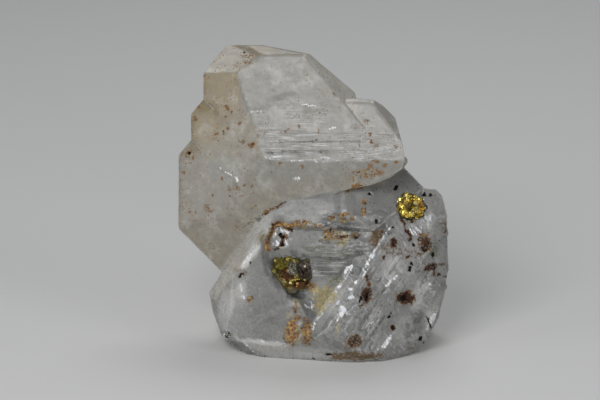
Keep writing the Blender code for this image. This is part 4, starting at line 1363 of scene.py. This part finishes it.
    def scattered(self, shade: Shade, amount: Socket) -> Socket:
        """Scattered grains of iron oxide, more of them where the layer is stronger.

        Args:
            shade (Shade): the material.
            amount (Socket): how many there are, from 0 to 1.

        Returns:
            Socket: 1 on a grain and 0 elsewhere.
        """
        grains = []
        for scale, size, share in self.specks:
            cells = shade.cells(scale)
            own = shade.node("ShaderNodeSeparateColor", {"Color": cells.outputs["Color"]})
            chosen = shade.less(own.outputs["Red"], shade.times(amount, share))
            reach = shade.times(shade.plus(own.outputs["Green"], 0.5), size / 1.5)
            grains.append(shade.times(chosen, shade.less(cells.outputs["Distance"], reach)))
        return shade.most(shade.most(grains[0], grains[1]), grains[2])


class Tarnish(Enum):
    """How far a chalcopyrite growth has tarnished."""

    BRIGHT = "chalcopyrite_bright"
    TARNISHED = "chalcopyrite_tarnished"


class Film(Enum):
    """The films of tarnish, and the shaded gaps between small crystals."""

    OLIVE = "olive_film"
    MAROON = "maroon_film"
    GREY = "grey_film"
    VIOLET = "violet_film"
    ORANGE = "orange_film"
    CRUST = "pale_crust"
    SHADED = "shaded_gap"


OWN_NUMBER = "own_number"


@dataclass(frozen=True)
class ChalcopyriteFinish:
    """Brassy sulphide with films of tarnish."""

    tarnish: Tarnish
    brass: Colour = (0.80, 0.64, 0.16)
    pale: Colour = (0.92, 0.84, 0.42)
    bronze: Colour = (0.26, 0.18, 0.04)
    olive: Colour = (0.36, 0.33, 0.08)
    maroon: Colour = (0.17, 0.07, 0.035)
    grey: Colour = (0.24, 0.235, 0.20)
    violet: Colour = (0.15, 0.125, 0.13)
    orange: Colour = (0.62, 0.34, 0.06)
    crust: Colour = (0.12, 0.105, 0.07)
    shadow: Colour = (0.035, 0.028, 0.010)
    rough: tuple[float, float] = (0.14, 0.32)

    def build(self, side: DisplaySide) -> bpy.types.Material:
        """Makes the material.

        Args:
            side (DisplaySide): where the display side lies.

        Returns:
            bpy.types.Material: the material.
        """
        shade = Shade(self.tarnish.value, side)
        fine = shade.noise(3.0, 5, 0.65)
        own = shade.tone(OWN_NUMBER)
        colour = shade.mix(shade.step(own, 0.15, 0.35), self.bronze, self.brass)
        colour = shade.mix(shade.step(own, 0.70, 0.85), colour, self.pale)
        colour = shade.mix(shade.step(fine, 0.56, 0.70, (0.0, 0.7)), colour, self.bronze)
        wander = shade.swing(fine, 1.6)
        for film, shown in (
            (Film.OLIVE, self.olive),
            (Film.ORANGE, self.orange),
            (Film.MAROON, self.maroon),
            (Film.GREY, self.grey),
            (Film.VIOLET, self.violet),
            (Film.CRUST, self.crust),
        ):
            layer = shade.tone(film.value)
            amount = shade.step(shade.plus(layer, wander), 0.35, 0.65)
            amount = shade.times(amount, shade.step(layer, 0.05, 0.2, (0.0, 0.9)))
            colour = shade.mix(amount, colour, shown)
        shaded = shade.tone(Film.SHADED.value)
        shade.set("Base Color", shade.mix(shaded, colour, self.shadow))
        dulled = shade.step(shade.tone(Film.CRUST.value), 0.2, 0.6, (1.0, 0.1))
        shade.set("Metallic", shade.times(shade.step(shaded, 0.3, 0.9, (1.0, 0.5)), dulled))
        shade.set("Roughness", shade.step(fine, 0.3, 0.7, self.rough))
        lines = shade.noise(1.0, 3, 0.6, shade.stretched((1.2, 3.0, 9.0), 34.0))
        shade.set("Normal", shade.bump(fine, 0.03, shade.bump(lines, 0.05)))
        return shade.material


class CalciteSurface:
    """The calcite's layers and what they are worked out from: a number per point in each field."""

    def __init__(self, fine: FineMesh, stain_wander: float) -> None:
        """Reads a mesh.

        Args:
            fine (FineMesh): the mesh.
            stain_wander (float): how far the edges of stains wander, in millimetres.
        """
        self.points = fine.points
        self.x, self.z = fine.points[:, 0], fine.points[:, 2]
        self.normals = fine.point_normals()
        self.front = ramp(-self.normals[:, 1], -0.05, 0.35)
        self.back = 1 - self.front
        cosine, sine = math.cos(math.radians(CLEAVAGE_DEG)), math.sin(math.radians(CLEAVAGE_DEG))
        along, across = self.x * cosine + self.z * sine, self.x * sine - self.z * cosine
        self.turned = np.stack([along, fine.points[:, 1], across], axis=1)
        wander = [Noise.layered(fine.points, 1.4, Seed.WANDER + axis) for axis in range(3)]
        self.wandering = fine.points + np.stack(wander, axis=1) * stain_wander
        self.wide = Noise.layered(fine.points, 7.0, Seed.WIDE)
        self.medium = Noise.layered(fine.points, 2.6, Seed.MEDIUM)
        self.ridge = fine.ridge_distance()
        self.masks: dict[tuple[Region, bool], Values] = {}
        self.lower = self.mask(LOWER_CRYSTAL)
        self.upper = 1 - self.lower
        self.tones = self.layers()

    def mask(self, region: Region, wandering: bool = False) -> Values:
        """How far inside a region each point is, worked out once.

        Args:
            region (Region): the region.
            wandering (bool): whether its edge wanders.

        Returns:
            Values: numbers from 0 to 1.
        """
        if (region, wandering) not in self.masks:
            self.masks[region, wandering] = region.mask(self.wandering if wandering else self.points)
        return self.masks[region, wandering]

    def cover(self, area: Area) -> Values:
        """How strongly an area covers each point.

        Args:
            area (Area): the area.

        Returns:
            Values: numbers from 0 to 1.
        """
        values = area.strength * self.mask(area.region, area.wandering)
        guides = {Guide.WIDE_NOISE: self.wide, Guide.MEDIUM_NOISE: self.medium, Guide.LEFTWARD: -self.x}
        return values * ramp(guides[area.guide], area.low, area.high) if area.guide else values

    def covered(self, tone: Tone) -> Values:
        """How strongly all the areas of a tone cover each point."""
        return strongest(*(self.cover(area) for area in AREAS[tone]))

    def layers(self) -> dict[Tone, Values]:
        """Works out the stains and areas.

        Returns:
            dict[Tone, Values]: a number from 0 to 1 per point for each layer.
        """
        tones = {tone: np.zeros(len(self.points)) for tone in Tone}
        for tone, patches in PATCHES.items():
            tones[tone] = strongest(*(patch.mask(self.wandering) for patch in patches)) * self.front
        tones[Tone.RUST] *= 1 - 0.22 * self.upper
        tones[Tone.DARK] *= 1 - 0.25 * self.upper
        tones[Tone.WARM] = self.warm()
        tones[Tone.BLUE] = 0.8 * self.mask(MIDDLE_FACE, wandering=True) * self.front
        tones[Tone.MILKY_AND_HIGHLIGHT] = self.milky_and_highlight(tones[Tone.MILKY_AND_HIGHLIGHT])
        tones[Tone.CLEAR_AND_SHADE] = self.clear_and_shade(tones[Tone.CLEAR_AND_SHADE])
        tones[Tone.GLASSY] = np.clip(0.85 * self.lower - 0.4 * self.mask(RIM), 0, 1)
        tones[Tone.GIRDLE] = self.striated()
        ledges = self.back * self.lower * 0.5 * ramp(self.wide, -0.1, 0.6)
        tones[Tone.LEDGES] = strongest(self.mask(LEDGE_AREA) * self.front, ledges)
        calm = strongest(self.mask(RIM), 0.7 * self.mask(LEFT_FRONT), 0.5 * self.upper)
        tones[Tone.CALM] = calm * self.front
        specks = 0.30 * self.upper + 0.004 * self.lower
        specks += self.cover(SPECKLED[0]) + self.cover(SPECKLED[1])
        specks += self.cover(SPECKLED[2])
        tones[Tone.SPECKS] = specks * ramp(self.medium, -0.4, 0.8)
        rust = self.back * 0.55 * ramp(self.medium + 0.4 * self.wide, 0.55, 0.9)
        tones[Tone.RUST] = strongest(tones[Tone.RUST], rust)
        ochre = self.back * self.lower * 0.4 * ramp(self.wide, 0.35, 0.8)
        tones[Tone.OCHRE] = strongest(tones[Tone.OCHRE], ochre)
        return tones

    def bevel(self, low: float, more: float) -> Values:
        """The top bevel's layer, which grows by so much from its left end to its right."""
        return (low + more * ramp(self.x, -10, -6)) * self.mask(TOP_BEVEL)

    def warm(self) -> Values:
        """Where the calcite is warm and brownish.

        Returns:
            Values: a number per point.
        """
        inner = ramp(self.x - 0.8 * (self.z - 56), -22, -12)
        left = 0.82 * self.mask(LEFT_FACE, wandering=True) * ramp(self.z, 38, 52) * (1 - 0.45 * inner)
        foot = 0.25 * self.upper * ramp(-self.z, -44, -36)
        warm = strongest(left, self.bevel(0.50, 0.25), self.covered(Tone.WARM), foot)
        return np.where(self.front > 0.5, warm, 0.35 * self.upper + 0.2 * self.lower) + 0.1 * self.wide

    def milky_and_highlight(self, drawn: Values) -> Values:
        """Where the calcite is hazy, with painted light: a glow along the outward ridges and a paler back.

        Args:
            drawn (Values): the layer as drawn.

        Returns:
            Values: a number per point.
        """
        soft = strongest(*(self.mask(region) for region in BLENDED))
        # Painted glow: lighter near the outward ridges, but not on the blended faces.
        glow = 0.25 * (1 - ramp(self.ridge, 0.0, 0.5)) * (1 - soft)
        milky_and_highlight = strongest(glow, drawn, self.covered(Tone.MILKY_AND_HIGHLIGHT))
        # The back is painted paler all over, with mottling.
        return milky_and_highlight * self.front + self.back * np.clip(0.66 + 0.3 * self.wide, 0.1, 1)

    def clear_and_shade(self, drawn: Values) -> Values:
        """Where the calcite is clear and dark, and where shade is painted in hollows and on faces turned from
        the light.

        Args:
            drawn (Values): the layer as drawn.

        Returns:
            Values: a number per point.
        """
        clear_and_shade = strongest(drawn, self.covered(Tone.CLEAR_AND_SHADE), self.bevel(0.12, 0.36))
        return clear_and_shade * self.front + self.back * 0.18 * ramp(-self.medium - 0.5 * self.wide, 0.1, 0.9)

    def striated(self) -> Values:
        """Where level striae run: along the girdle, faintly above it, and here and there behind.

        Returns:
            Values: a number per point.
        """
        patchy = ramp(self.medium + 0.5 * self.wide, -0.9, 0.3)
        girdle = self.mask(GIRDLE) * patchy * (1 - 0.35 * ramp(self.x, 2, 12))
        front = strongest(girdle, self.cover(STRIATED)) * self.front
        return strongest(front, self.back * self.upper * 0.2 * ramp(self.wide, 0.0, 0.6))


@dataclass
class CalciteCrystals:
    """The intergrown calcite crystals, as one piece with fine relief and stains.

    Every size is in millimetres. Steps are the widths of triangles, and the others are the heights and depths
    of relief. A gap is the groove between two broken blocks.
    """

    side: DisplaySide = DisplaySide()
    finish: CalciteFinish = CalciteFinish()
    front_step: float = 0.31
    back_step: float = 0.72
    stain_wander: float = 0.35
    relax_rounds: int = 28
    inset: float = 0.05
    upper_wave: float = 0.04
    lower_wave: float = 0.09
    grain: float = 0.02
    sunken: float = 0.10
    striae: float = 0.07
    flakes: float = 0.05
    cleavage_wave: float = 0.12
    block: float = 0.40
    block_gap: float = 0.15
    floor_bars: float = 0.10
    shard: float = 0.35
    shard_gap: float = 0.12
    pocket_at: tuple[float, float] = (-6.6, 27.6)
    pocket_wider: float = 1.15
    pocket_lip: float = 0.22
    pocket_depth: float = 0.45
    pits: float = 0.22
    rust_grains: float = 0.10
    back_wave: float = 0.07
    back_grain: float = 0.04
    back_inset: float = 0.08
    blunting: float = 0.09
    nicks: float = 0.16

    def build(self) -> bpy.types.Object:
        """Builds and dresses the piece.

        Returns:
            bpy.types.Object: the piece.
        """
        mesher = FacetMesher(self.side, self.front_step, self.back_step)
        fine = mesher.fill(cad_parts["calcite_crystals"].data)
        surface = CalciteSurface(fine, self.stain_wander)
        self.carve(fine, surface)
        layers = {tone.value: surface.tones[tone] for tone in Tone}
        piece = fine.to_object("calcite_body", self.side, layers)
        piece.data.materials.append(self.finish.build(self.side))
        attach(piece, "root")
        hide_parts("calcite_crystals")
        LOG.info("%s: %d triangles", piece.name, len(fine.triangles))
        return piece

    def carve(self, fine: FineMesh, surface: CalciteSurface) -> None:
        """Moves the points along their normals, but for those of the base, and blends the left side's faces.

        Args:
            fine (FineMesh): the mesh, which is changed.
            surface (CalciteSurface): what was read from it.
        """
        lift = np.full(len(fine.points), -self.inset)
        for relief in (self.waves, self.cleavage, self.breaks, self.pocket_and_pits, self.back_and_edges):
            for part in relief(surface):
                lift += part
        down = ramp(-(surface.normals @ self.side.turn().T)[:, 2], 0.90, 0.97)
        fine.points = surface.points + surface.normals * (lift * (1 - down))[:, None]
        soft = strongest(*(region.mask(fine.points) for region in BLENDED))
        fine.relax(soft * ramp(-surface.normals[:, 1], 0.35, 0.6), self.relax_rounds)

    def waves(self, surface: CalciteSurface) -> Iterator[Values]:
        """Growth waves, the sunken patch and level striae.

        Args:
            surface (CalciteSurface): what was read from the mesh.

        Yields:
            Values: heights in millimetres.
        """
        points = surface.points
        calm = strongest(surface.mask(RIM), surface.mask(LEFT_FRONT))
        yield self.upper_wave * Noise.layered(points, 4.5, Seed.UPPER_WAVES) * surface.upper
        lower_wave = self.lower_wave * Noise.layered(points, 3.0, Seed.LOWER_WAVES) * surface.lower
        yield lower_wave * (1 - 0.75 * calm)
        yield self.grain * Noise.layered(points, 0.9, Seed.GRAIN) * (1 - 0.85 * calm)
        yield -self.sunken * surface.mask(SUNKEN_PATCH) * surface.front
        level = Noise.smooth(points, (5.0, 3.0, 0.42), Seed.STRIAE)
        level = level + 0.6 * Noise.smooth(points, (2.6, 2.0, 0.8), Seed.FINE_STRIAE)
        yield self.striae * level * surface.tones[Tone.GIRDLE]

    def cleavage(self, surface: CalciteSurface) -> Iterator[Values]:
        """Flakes and long waves along the cleavage.

        Args:
            surface (CalciteSurface): what was read from the mesh.

        Yields:
            Values: heights in millimetres.
        """
        flakes = Noise.smooth(surface.turned, (4.5, 6.0, 0.9), Seed.FLAKES)
        flakes = flakes + 0.7 * Noise.smooth(surface.turned, (2.6, 4.0, 0.45), Seed.FINE_FLAKES)
        yield self.flakes * flakes * surface.tones[Tone.LEDGES]
        wave = Noise.smooth(surface.turned, (8.0, 5.0, 1.7), Seed.CLEAVAGE_WAVES)
        yield self.cleavage_wave * wave * surface.tones[Tone.LEDGES]

    def breaks(self, surface: CalciteSurface) -> Iterator[Values]:
        """Broken blocks, the hollow's floor and its shattered edge.

        Args:
            surface (CalciteSurface): what was read from the mesh.

        Yields:
            Values: heights in millimetres.
        """
        points = surface.points
        gap, number = Noise.cells(points, (2.6, 2.0, 0.9), Seed.BLOCKS)
        blocks = self.block * (number - 0.6) - self.block_gap * (1 - ramp(gap, 0.0, 0.25))
        yield blocks * (surface.mask(BROKEN_BAND) * surface.front)
        bars = Noise.smooth(points, (6.0, 3.0, 0.7), Seed.FLOOR)
        bars = bars + Noise.smooth(points, (3.0, 3.0, 1.6), Seed.FLOOR_BARS)
        yield self.floor_bars * bars * (surface.mask(HOLLOW_FLOOR) * surface.front)
        gap, number = Noise.cells(surface.turned, (1.6, 1.6, 1.0), Seed.SHARDS)
        shards = self.shard * (number - 0.5) - self.shard_gap * (1 - ramp(gap, 0.0, 0.25))
        yield shards * (surface.mask(SHATTERED) * surface.front)

    def pocket_and_pits(self, surface: CalciteSurface) -> Iterator[Values]:
        """The whitish pocket with its lip, the pits of dark grains, and crusts of rust.

        Args:
            surface (CalciteSurface): what was read from the mesh.

        Yields:
            Values: heights in millimetres.
        """
        pocket_x, pocket_z = self.pocket_at
        ring = np.hypot((surface.x - pocket_x) / self.pocket_wider, surface.z - pocket_z)
        lip = self.pocket_lip * np.exp(-(((ring - 2.7) / 0.7) ** 2))
        yield surface.front * (lip - self.pocket_depth * (1 - ramp(ring, 0.6, 2.5)))
        yield -self.pits * surface.tones[Tone.DARK] * surface.front
        grains = np.maximum(Noise.layered(surface.points, 0.8, Seed.RUST_GRAINS), 0)
        yield self.rust_grains * surface.tones[Tone.RUST] * grains * surface.front

    def back_and_edges(self, surface: CalciteSurface) -> Iterator[Values]:
        """Waves behind, and blunt, nicked edges all round.

        Args:
            surface (CalciteSurface): what was read from the mesh.

        Yields:
            Values: heights in millimetres.
        """
        points = surface.points
        behind = self.back_wave * Noise.smooth(points, 6.5, Seed.BACK)
        behind = behind + self.back_grain * Noise.smooth(points, 2.4, Seed.BACK_GRAIN) - self.back_inset
        yield surface.back * behind
        yield -self.blunting * (1 - ramp(surface.ridge, 0.0, 0.25))
        nick = ramp(Noise.layered(points, 1.1, Seed.NICKS), 0.25, 0.8) * (1 - ramp(surface.ridge, 0.0, 0.7))
        yield -nick * (self.nicks + self.nicks * surface.lower)


@dataclass(frozen=True)
class MicroCrystal:
    """The shape of one small chalcopyrite crystal: a four-sided wedge with blunt corners."""

    blunt: float = 0.24
    tall: float = 1.15

    def shape(self) -> tuple[Points, np.ndarray]:
        """Its points and triangles, about one unit across.

        Returns:
            tuple[Points, np.ndarray]: the points, and the triangles as numbers of points.
        """
        tall = self.tall
        corners = np.array([(1, 1, tall), (1, -1, -tall), (-1, 1, -tall), (-1, -1, tall)]) / 2
        bm = bmesh.new()
        for start, end in itertools.permutations(corners, 2):
            bm.verts.new(start + (end - start) * self.blunt)
        bmesh.ops.convex_hull(bm, input=bm.verts[:])
        bmesh.ops.triangulate(bm, faces=bm.faces[:])
        bm.verts.index_update()
        shape = np.array([vertex.co[:] for vertex in bm.verts])
        triangles = np.array([[vertex.index for vertex in face.verts] for face in bm.faces])
        bm.free()
        return shape, triangles


@dataclass
class ChalcopyriteGrowth:
    """One chalcopyrite growth: its solid in fine triangles, with small crystals all over it.

    The small crystals stand on the open side of the growth and on the calcite round it, inside the outline.
    Sizes are in millimetres. Seat is how far the buried side swells to meet the wall of its socket, and
    between is how shaded the solid is between its crystals. Smaller is the range of each crystal's share of
    its size, and sunk is how far down it sits, in its own size.
    """

    node: str
    name: str
    finish: ChalcopyriteFinish
    middle: Triple
    outline: Outline
    crystals: int
    sizes: tuple[float, float]
    seed: int
    films: dict[Film, tuple[Patch, ...]]
    side: DisplaySide = DisplaySide()
    step: float = 0.25
    seat: float = 0.34
    between: float = 0.75
    rough: float = 0.05
    smaller: tuple[float, float] = (0.55, 1.0)
    sunk: tuple[float, float] = (0.05, 0.3)
    in_front: float = -40.0

    def build(self) -> bpy.types.Object:
        """Builds and dresses the growth.

        Returns:
            bpy.types.Object: the piece.
        """
        solid = FacetMesher(self.side, self.step, self.step).fill(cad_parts[self.node].data)
        self.seat_in_calcite(solid)
        points, triangles, own, shaded = self.scatter(solid)
        whole = FineMesh(points, triangles, solid.creases, solid.ridges)
        layers = {
            film.value: strongest(*(patch.mask(points) for patch in patches))
            for film, patches in self.films.items()
        }
        layers[Film.SHADED.value] = np.maximum(layers.get(Film.SHADED.value, 0.0), shaded)
        layers[OWN_NUMBER] = own
        piece = whole.to_object(self.name, self.side, layers, smooth=False)
        piece.data.materials.append(self.finish.build(self.side))
        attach(piece, "root")
        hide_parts(self.node)
        LOG.info("%s: %d triangles", piece.name, len(triangles))
        return piece

    def seat_in_calcite(self, solid: FineMesh) -> None:
        """Swells the buried side so that it meets the wall of its socket, and roughens the rest.

        Args:
            solid (FineMesh): the mesh, which is changed.
        """
        buried = ramp(solid.points[:, 1], self.middle[1] - 1.1, self.middle[1] - 0.2)
        rough = self.rough * Noise.layered(solid.points, 0.5, self.seed)
        lift = self.seat * buried + rough * (1 - buried)
        solid.points = solid.points + solid.point_normals() * lift[:, None]

    def scatter(self, solid: FineMesh) -> tuple[Points, np.ndarray, Values, Values]:
        """Grows small crystals on the open side.

        Args:
            solid (FineMesh): the solid's fine mesh.

        Returns:
            tuple[Points, np.ndarray, Values, Values]: all the points, all the triangles, each small
                crystal's own number at its points, and how shaded each point is.
        """
        rng = np.random.default_rng(self.seed)
        grown = BVHTree.FromPolygons(solid.points.tolist(), solid.triangles.tolist())
        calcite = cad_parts["calcite_crystals"].data
        wall = self.side.from_row(np.array([vertex.co[:] for vertex in calcite.vertices]))
        ground = BVHTree.FromPolygons(wall.tolist(), [face.vertices[:] for face in calcite.polygons])
        corners = np.array(self.outline)
        shape, faces = MicroCrystal().shape()
        points = [solid.points]
        triangles = [solid.triangles]
        own = [0.3 + 0.3 * Noise.layered(solid.points, 0.9, self.seed + 2)]
        shaded = [np.full(len(solid.points), self.between)]
        count = len(solid.points)
        while len(points) <= self.crystals:
            x, z = rng.uniform(corners.min(axis=0), corners.max(axis=0))
            if not inside_outline(np.array([[x, z]]), corners)[0]:
                continue
            start = Vector((x, self.in_front, z))
            hits = [tree.ray_cast(start, Vector((0.0, 1.0, 0.0))) for tree in (grown, ground)]
            near = min((hit for hit in hits if hit[0] is not None), key=lambda hit: hit[3])
            size = rng.uniform(*self.sizes) * rng.uniform(*self.smaller)
            turn = np.array(Matrix.Rotation(rng.uniform(0, math.tau), 3, Vector(rng.normal(size=3))))
            middle = np.array(near[0]) - np.array(near[1]) * size * rng.uniform(*self.sunk)
            points.append(shape @ turn.T * size + middle)
            triangles.append(faces + count)
            own.append(np.full(len(shape), rng.uniform(0, 1)))
            shaded.append(np.zeros(len(shape)))
            count += len(shape)
        return tuple(np.concatenate(part) for part in (points, triangles, own, shaded))


@dataclass(frozen=True)
class SoftBox:
    """A soft light: where it hangs, its width and height, all in metres, and its power in watts."""

    name: str
    place: Triple
    size: tuple[float, float]
    watts: float

    def hang(self, aim: Triple) -> None:
        """Adds the light.

        Args:
            aim (Triple): the place that it looks at, in metres.
        """
        data = bpy.data.lights.new(self.name, "AREA")
        data.shape = "RECTANGLE"
        data.size, data.size_y = self.size
        data.energy = self.watts
        light = bpy.data.objects.new(self.name, data)
        light.location = self.place
        light.rotation_euler = (Vector(aim) - Vector(self.place)).to_track_quat("-Z", "Y").to_euler()
        bpy.context.scene.collection.objects.link(light)


@dataclass
class Studio:
    """A pale floor and backdrop, soft lights, and the camera. Sizes are in metres, but for aim_mm."""

    side: DisplaySide = DisplaySide()
    aim_mm: tuple[float, float] = (-2.42, 35.64)
    distance: float = 1.2
    lens: float = 328.8
    sensor: float = 36.0
    nearest: float = 0.05
    floor_half: float = 2.2
    floor_back: float = 1.5
    bend_radius: float = 0.35
    bend_parts: int = 12
    floor_colour: Colour = (0.62, 0.62, 0.61)
    floor_rough: float = 0.45
    air_colour: Colour = (0.9, 0.93, 1.0)
    air_light: float = 0.18
    lit_at: Triple = (0.0, 0.0, 0.03)
    lights: tuple[SoftBox, ...] = (
        SoftBox("key", (-0.20, -0.42, 0.42), (0.34, 0.28), 1.9),
        SoftBox("left", (-0.42, -0.16, 0.14), (0.16, 0.26), 0.32),
        SoftBox("front", (0.12, -0.60, 0.12), (0.40, 0.30), 0.55),
        SoftBox("right", (0.40, -0.26, 0.22), (0.18, 0.26), 0.45),
        SoftBox("top_back", (0.06, 0.26, 0.40), (0.30, 0.14), 0.6),
    )

    def build(self) -> None:
        """Builds the studio."""
        self.sweep()
        for light in self.lights:
            light.hang(self.lit_at)
        world = bpy.data.worlds.new("studio")
        world.use_nodes = True
        air = world.node_tree.nodes["Background"].inputs
        air["Color"].default_value = (*self.air_colour, 1.0)
        air["Strength"].default_value = self.air_light
        bpy.context.scene.world = world
        bpy.context.scene.view_settings.view_transform = "Standard"
        self.camera()

    def sweep(self) -> None:
        """Makes the floor, which curves up into a backdrop."""
        half, back, radius = self.floor_half, self.floor_back, self.bend_radius
        profile = [(-half, 0.0), (back, 0.0)]
        for part in range(1, self.bend_parts + 1):
            angle = math.pi / 2 * part / self.bend_parts
            profile.append((back + radius * math.sin(angle), radius * (1 - math.cos(angle))))
        profile.append((back + radius, half))
        points = [(x, y, z) for y, z in profile for x in (-half, half)]
        faces = [(2 * k, 2 * k + 1, 2 * k + 3, 2 * k + 2) for k in range(len(profile) - 1)]
        mesh = bpy.data.meshes.new("studio_sweep")
        mesh.from_pydata(points, [], faces)
        mesh.polygons.foreach_set("use_smooth", np.full(len(faces), True))
        material = bpy.data.materials.new("studio_floor")
        material.use_nodes = True
        shader = material.node_tree.nodes["Principled BSDF"]
        shader.inputs["Base Color"].default_value = (*self.floor_colour, 1.0)
        shader.inputs["Roughness"].default_value = self.floor_rough
        mesh.materials.append(material)
        sweep = bpy.data.objects.new("studio_sweep", mesh)
        bpy.context.scene.collection.objects.link(sweep)
        sweep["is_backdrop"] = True

    def camera(self) -> None:
        """Adds the camera, square to the display side."""
        place = self.side.matrix()
        back = place.to_3x3() @ Vector((0.0, -1.0, 0.0))
        data = bpy.data.cameras.new("camera")
        data.lens = self.lens
        data.sensor_width = self.sensor
        data.clip_start = self.nearest
        camera = bpy.data.objects.new("camera", data)
        aim = place @ Vector((self.aim_mm[0] * MM, 0.0, self.aim_mm[1] * MM))
        camera.location = aim + back * self.distance
        camera.rotation_euler = (-back).to_track_quat("-Z", "Y").to_euler()
        bpy.context.scene.collection.objects.link(camera)
        bpy.context.scene.camera = camera


# The bright cluster high on the right of the lower crystal.
BRIGHT_CLUSTER = ChalcopyriteGrowth(
    node="chalcopyrite_cluster",
    name="chalcopyrite_cluster_crystals",
    finish=ChalcopyriteFinish(Tarnish.BRIGHT),
    middle=(22.0, 5.2, 34.1),
    outline=(
        ((18.9, 34.2), (19.3, 35.6), (20.7, 36.6), (22.7, 36.6), (24.4, 35.8), (25.1, 34.2), (24.6, 32.6))
        + ((23.5, 31.4), (22.8, 30.5), (22.0, 30.6), (21.6, 31.8), (19.9, 32.3), (19.1, 33.2))
    ),
    crystals=190,
    sizes=(0.5, 1.2),
    seed=8,
    films={
        Film.SHADED: (
            Trail(((22.2, 34.6), (23.1, 34.6)), 0.9),
            Trail(((21.0, 34.1), (21.9, 33.2)), 0.8, 0.9),
            Spot(22.7, 31.2, 1.1, 0.7, 10, 0.9),
        ),
        Film.ORANGE: (Spot(24.2, 34.5, 1.4, 2.4, 0, 0.8), Spot(19.7, 34.0, 0.8, 1.2, 0, 0.5)),
        Film.VIOLET: (Spot(25.0, 34.9, 0.7, 1.6, 0, 0.9),),
    },
)

# The tarnished crystal left of the middle, with the small crystals grown on it.
TARNISHED_CRYSTAL = ChalcopyriteGrowth(
    node="chalcopyrite_crystal",
    name="chalcopyrite_tarnished_crystal",
    finish=ChalcopyriteFinish(
        Tarnish.TARNISHED, brass=(0.52, 0.43, 0.12), pale=(0.78, 0.70, 0.32), bronze=(0.17, 0.12, 0.04)
    ),
    middle=(-4.4, 3.6, 19.5),
    outline=(
        ((-8.5, 22.4), (-7.5, 23.0), (-5.5, 22.9), (-3.7, 23.0), (-1.8, 22.0), (0.0, 20.9))
        + ((-0.9, 18.7), (-1.3, 17.4), (-3.1, 16.7), (-5.1, 16.8), (-6.3, 17.6), (-7.3, 19.6))
    ),
    crystals=95,
    sizes=(0.35, 1.05),
    seed=5,
    between=0.5,
    films={
        Film.OLIVE: (
            Spot(-6.4, 22.0, 3.8, 2.4, 0, 0.6),
            Spot(-7.2, 19.8, 1.6, 3.6, 20, 0.8),
            Spot(-6.0, 17.6, 1.8, 2.2, 0, 0.7),
        ),
        Film.MAROON: (
            Spot(-5.4, 19.2, 3.4, 3.2, -20),
            Spot(-2.2, 17.0, 3.6, 2.0, 0, 0.9),
            Spot(-5.0, 16.8, 2.4, 0.8, 0, 0.7),
        ),
        Film.GREY: (Spot(-4.0, 20.7, 2.4, 3.3, 10), Spot(-6.4, 17.6, 0.8, 1.8, 10, 0.6)),
        Film.VIOLET: (Spot(-1.5, 20.4, 3.5, 4.6, 15),),
        Film.SHADED: (
            Trail(((-8.5, 22.2), (-8.0, 21.0), (-7.2, 19.6)), 0.6),
            Trail(((-4.4, 22.9), (-4.2, 21.8)), 0.4, 0.8),
        ),
        Film.CRUST: (Spot(-3.7, 15.3, 5.0, 2.0),),
    },
)

# The tiny growth low on the left.
SMALL_GROWTH = ChalcopyriteGrowth(
    node="chalcopyrite_small_crystal",
    name="chalcopyrite_small_growth",
    finish=ChalcopyriteFinish(Tarnish.BRIGHT),
    middle=(-18.3, 7.4, 6.0),
    outline=((-18.9, 5.6), (-18.8, 6.3), (-18.1, 6.6), (-17.7, 6.1), (-17.9, 5.5)),
    crystals=12,
    sizes=(0.3, 0.6),
    step=0.2,
    seed=4,
    seat=0.32,
    films={
        Film.GREY: (Spot(-18.3, 6.1, 2.5, 2.5),),
        Film.SHADED: (Spot(-18.7, 5.8, 0.6, 0.9, 0, 0.8),),
    },
)


def main() -> None:
    """Builds the specimen's pieces in order, then the studio."""
    logging.basicConfig(level=logging.INFO, format="%(name)s: %(message)s")
    for piece in (CalciteCrystals(), BRIGHT_CLUSTER, TARNISHED_CRYSTAL, SMALL_GROWTH):
        piece.build()
    Studio().build()
    LOG.info("built the studio")
    boxes = [[float(value) for corner in box for value in corner] for box in (CAD_BOX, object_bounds())]
    for box in boxes:
        LOG.info("box in mm: %s", [round(value / MM, 2) for value in box])


if __name__ == "__main__":
    main()
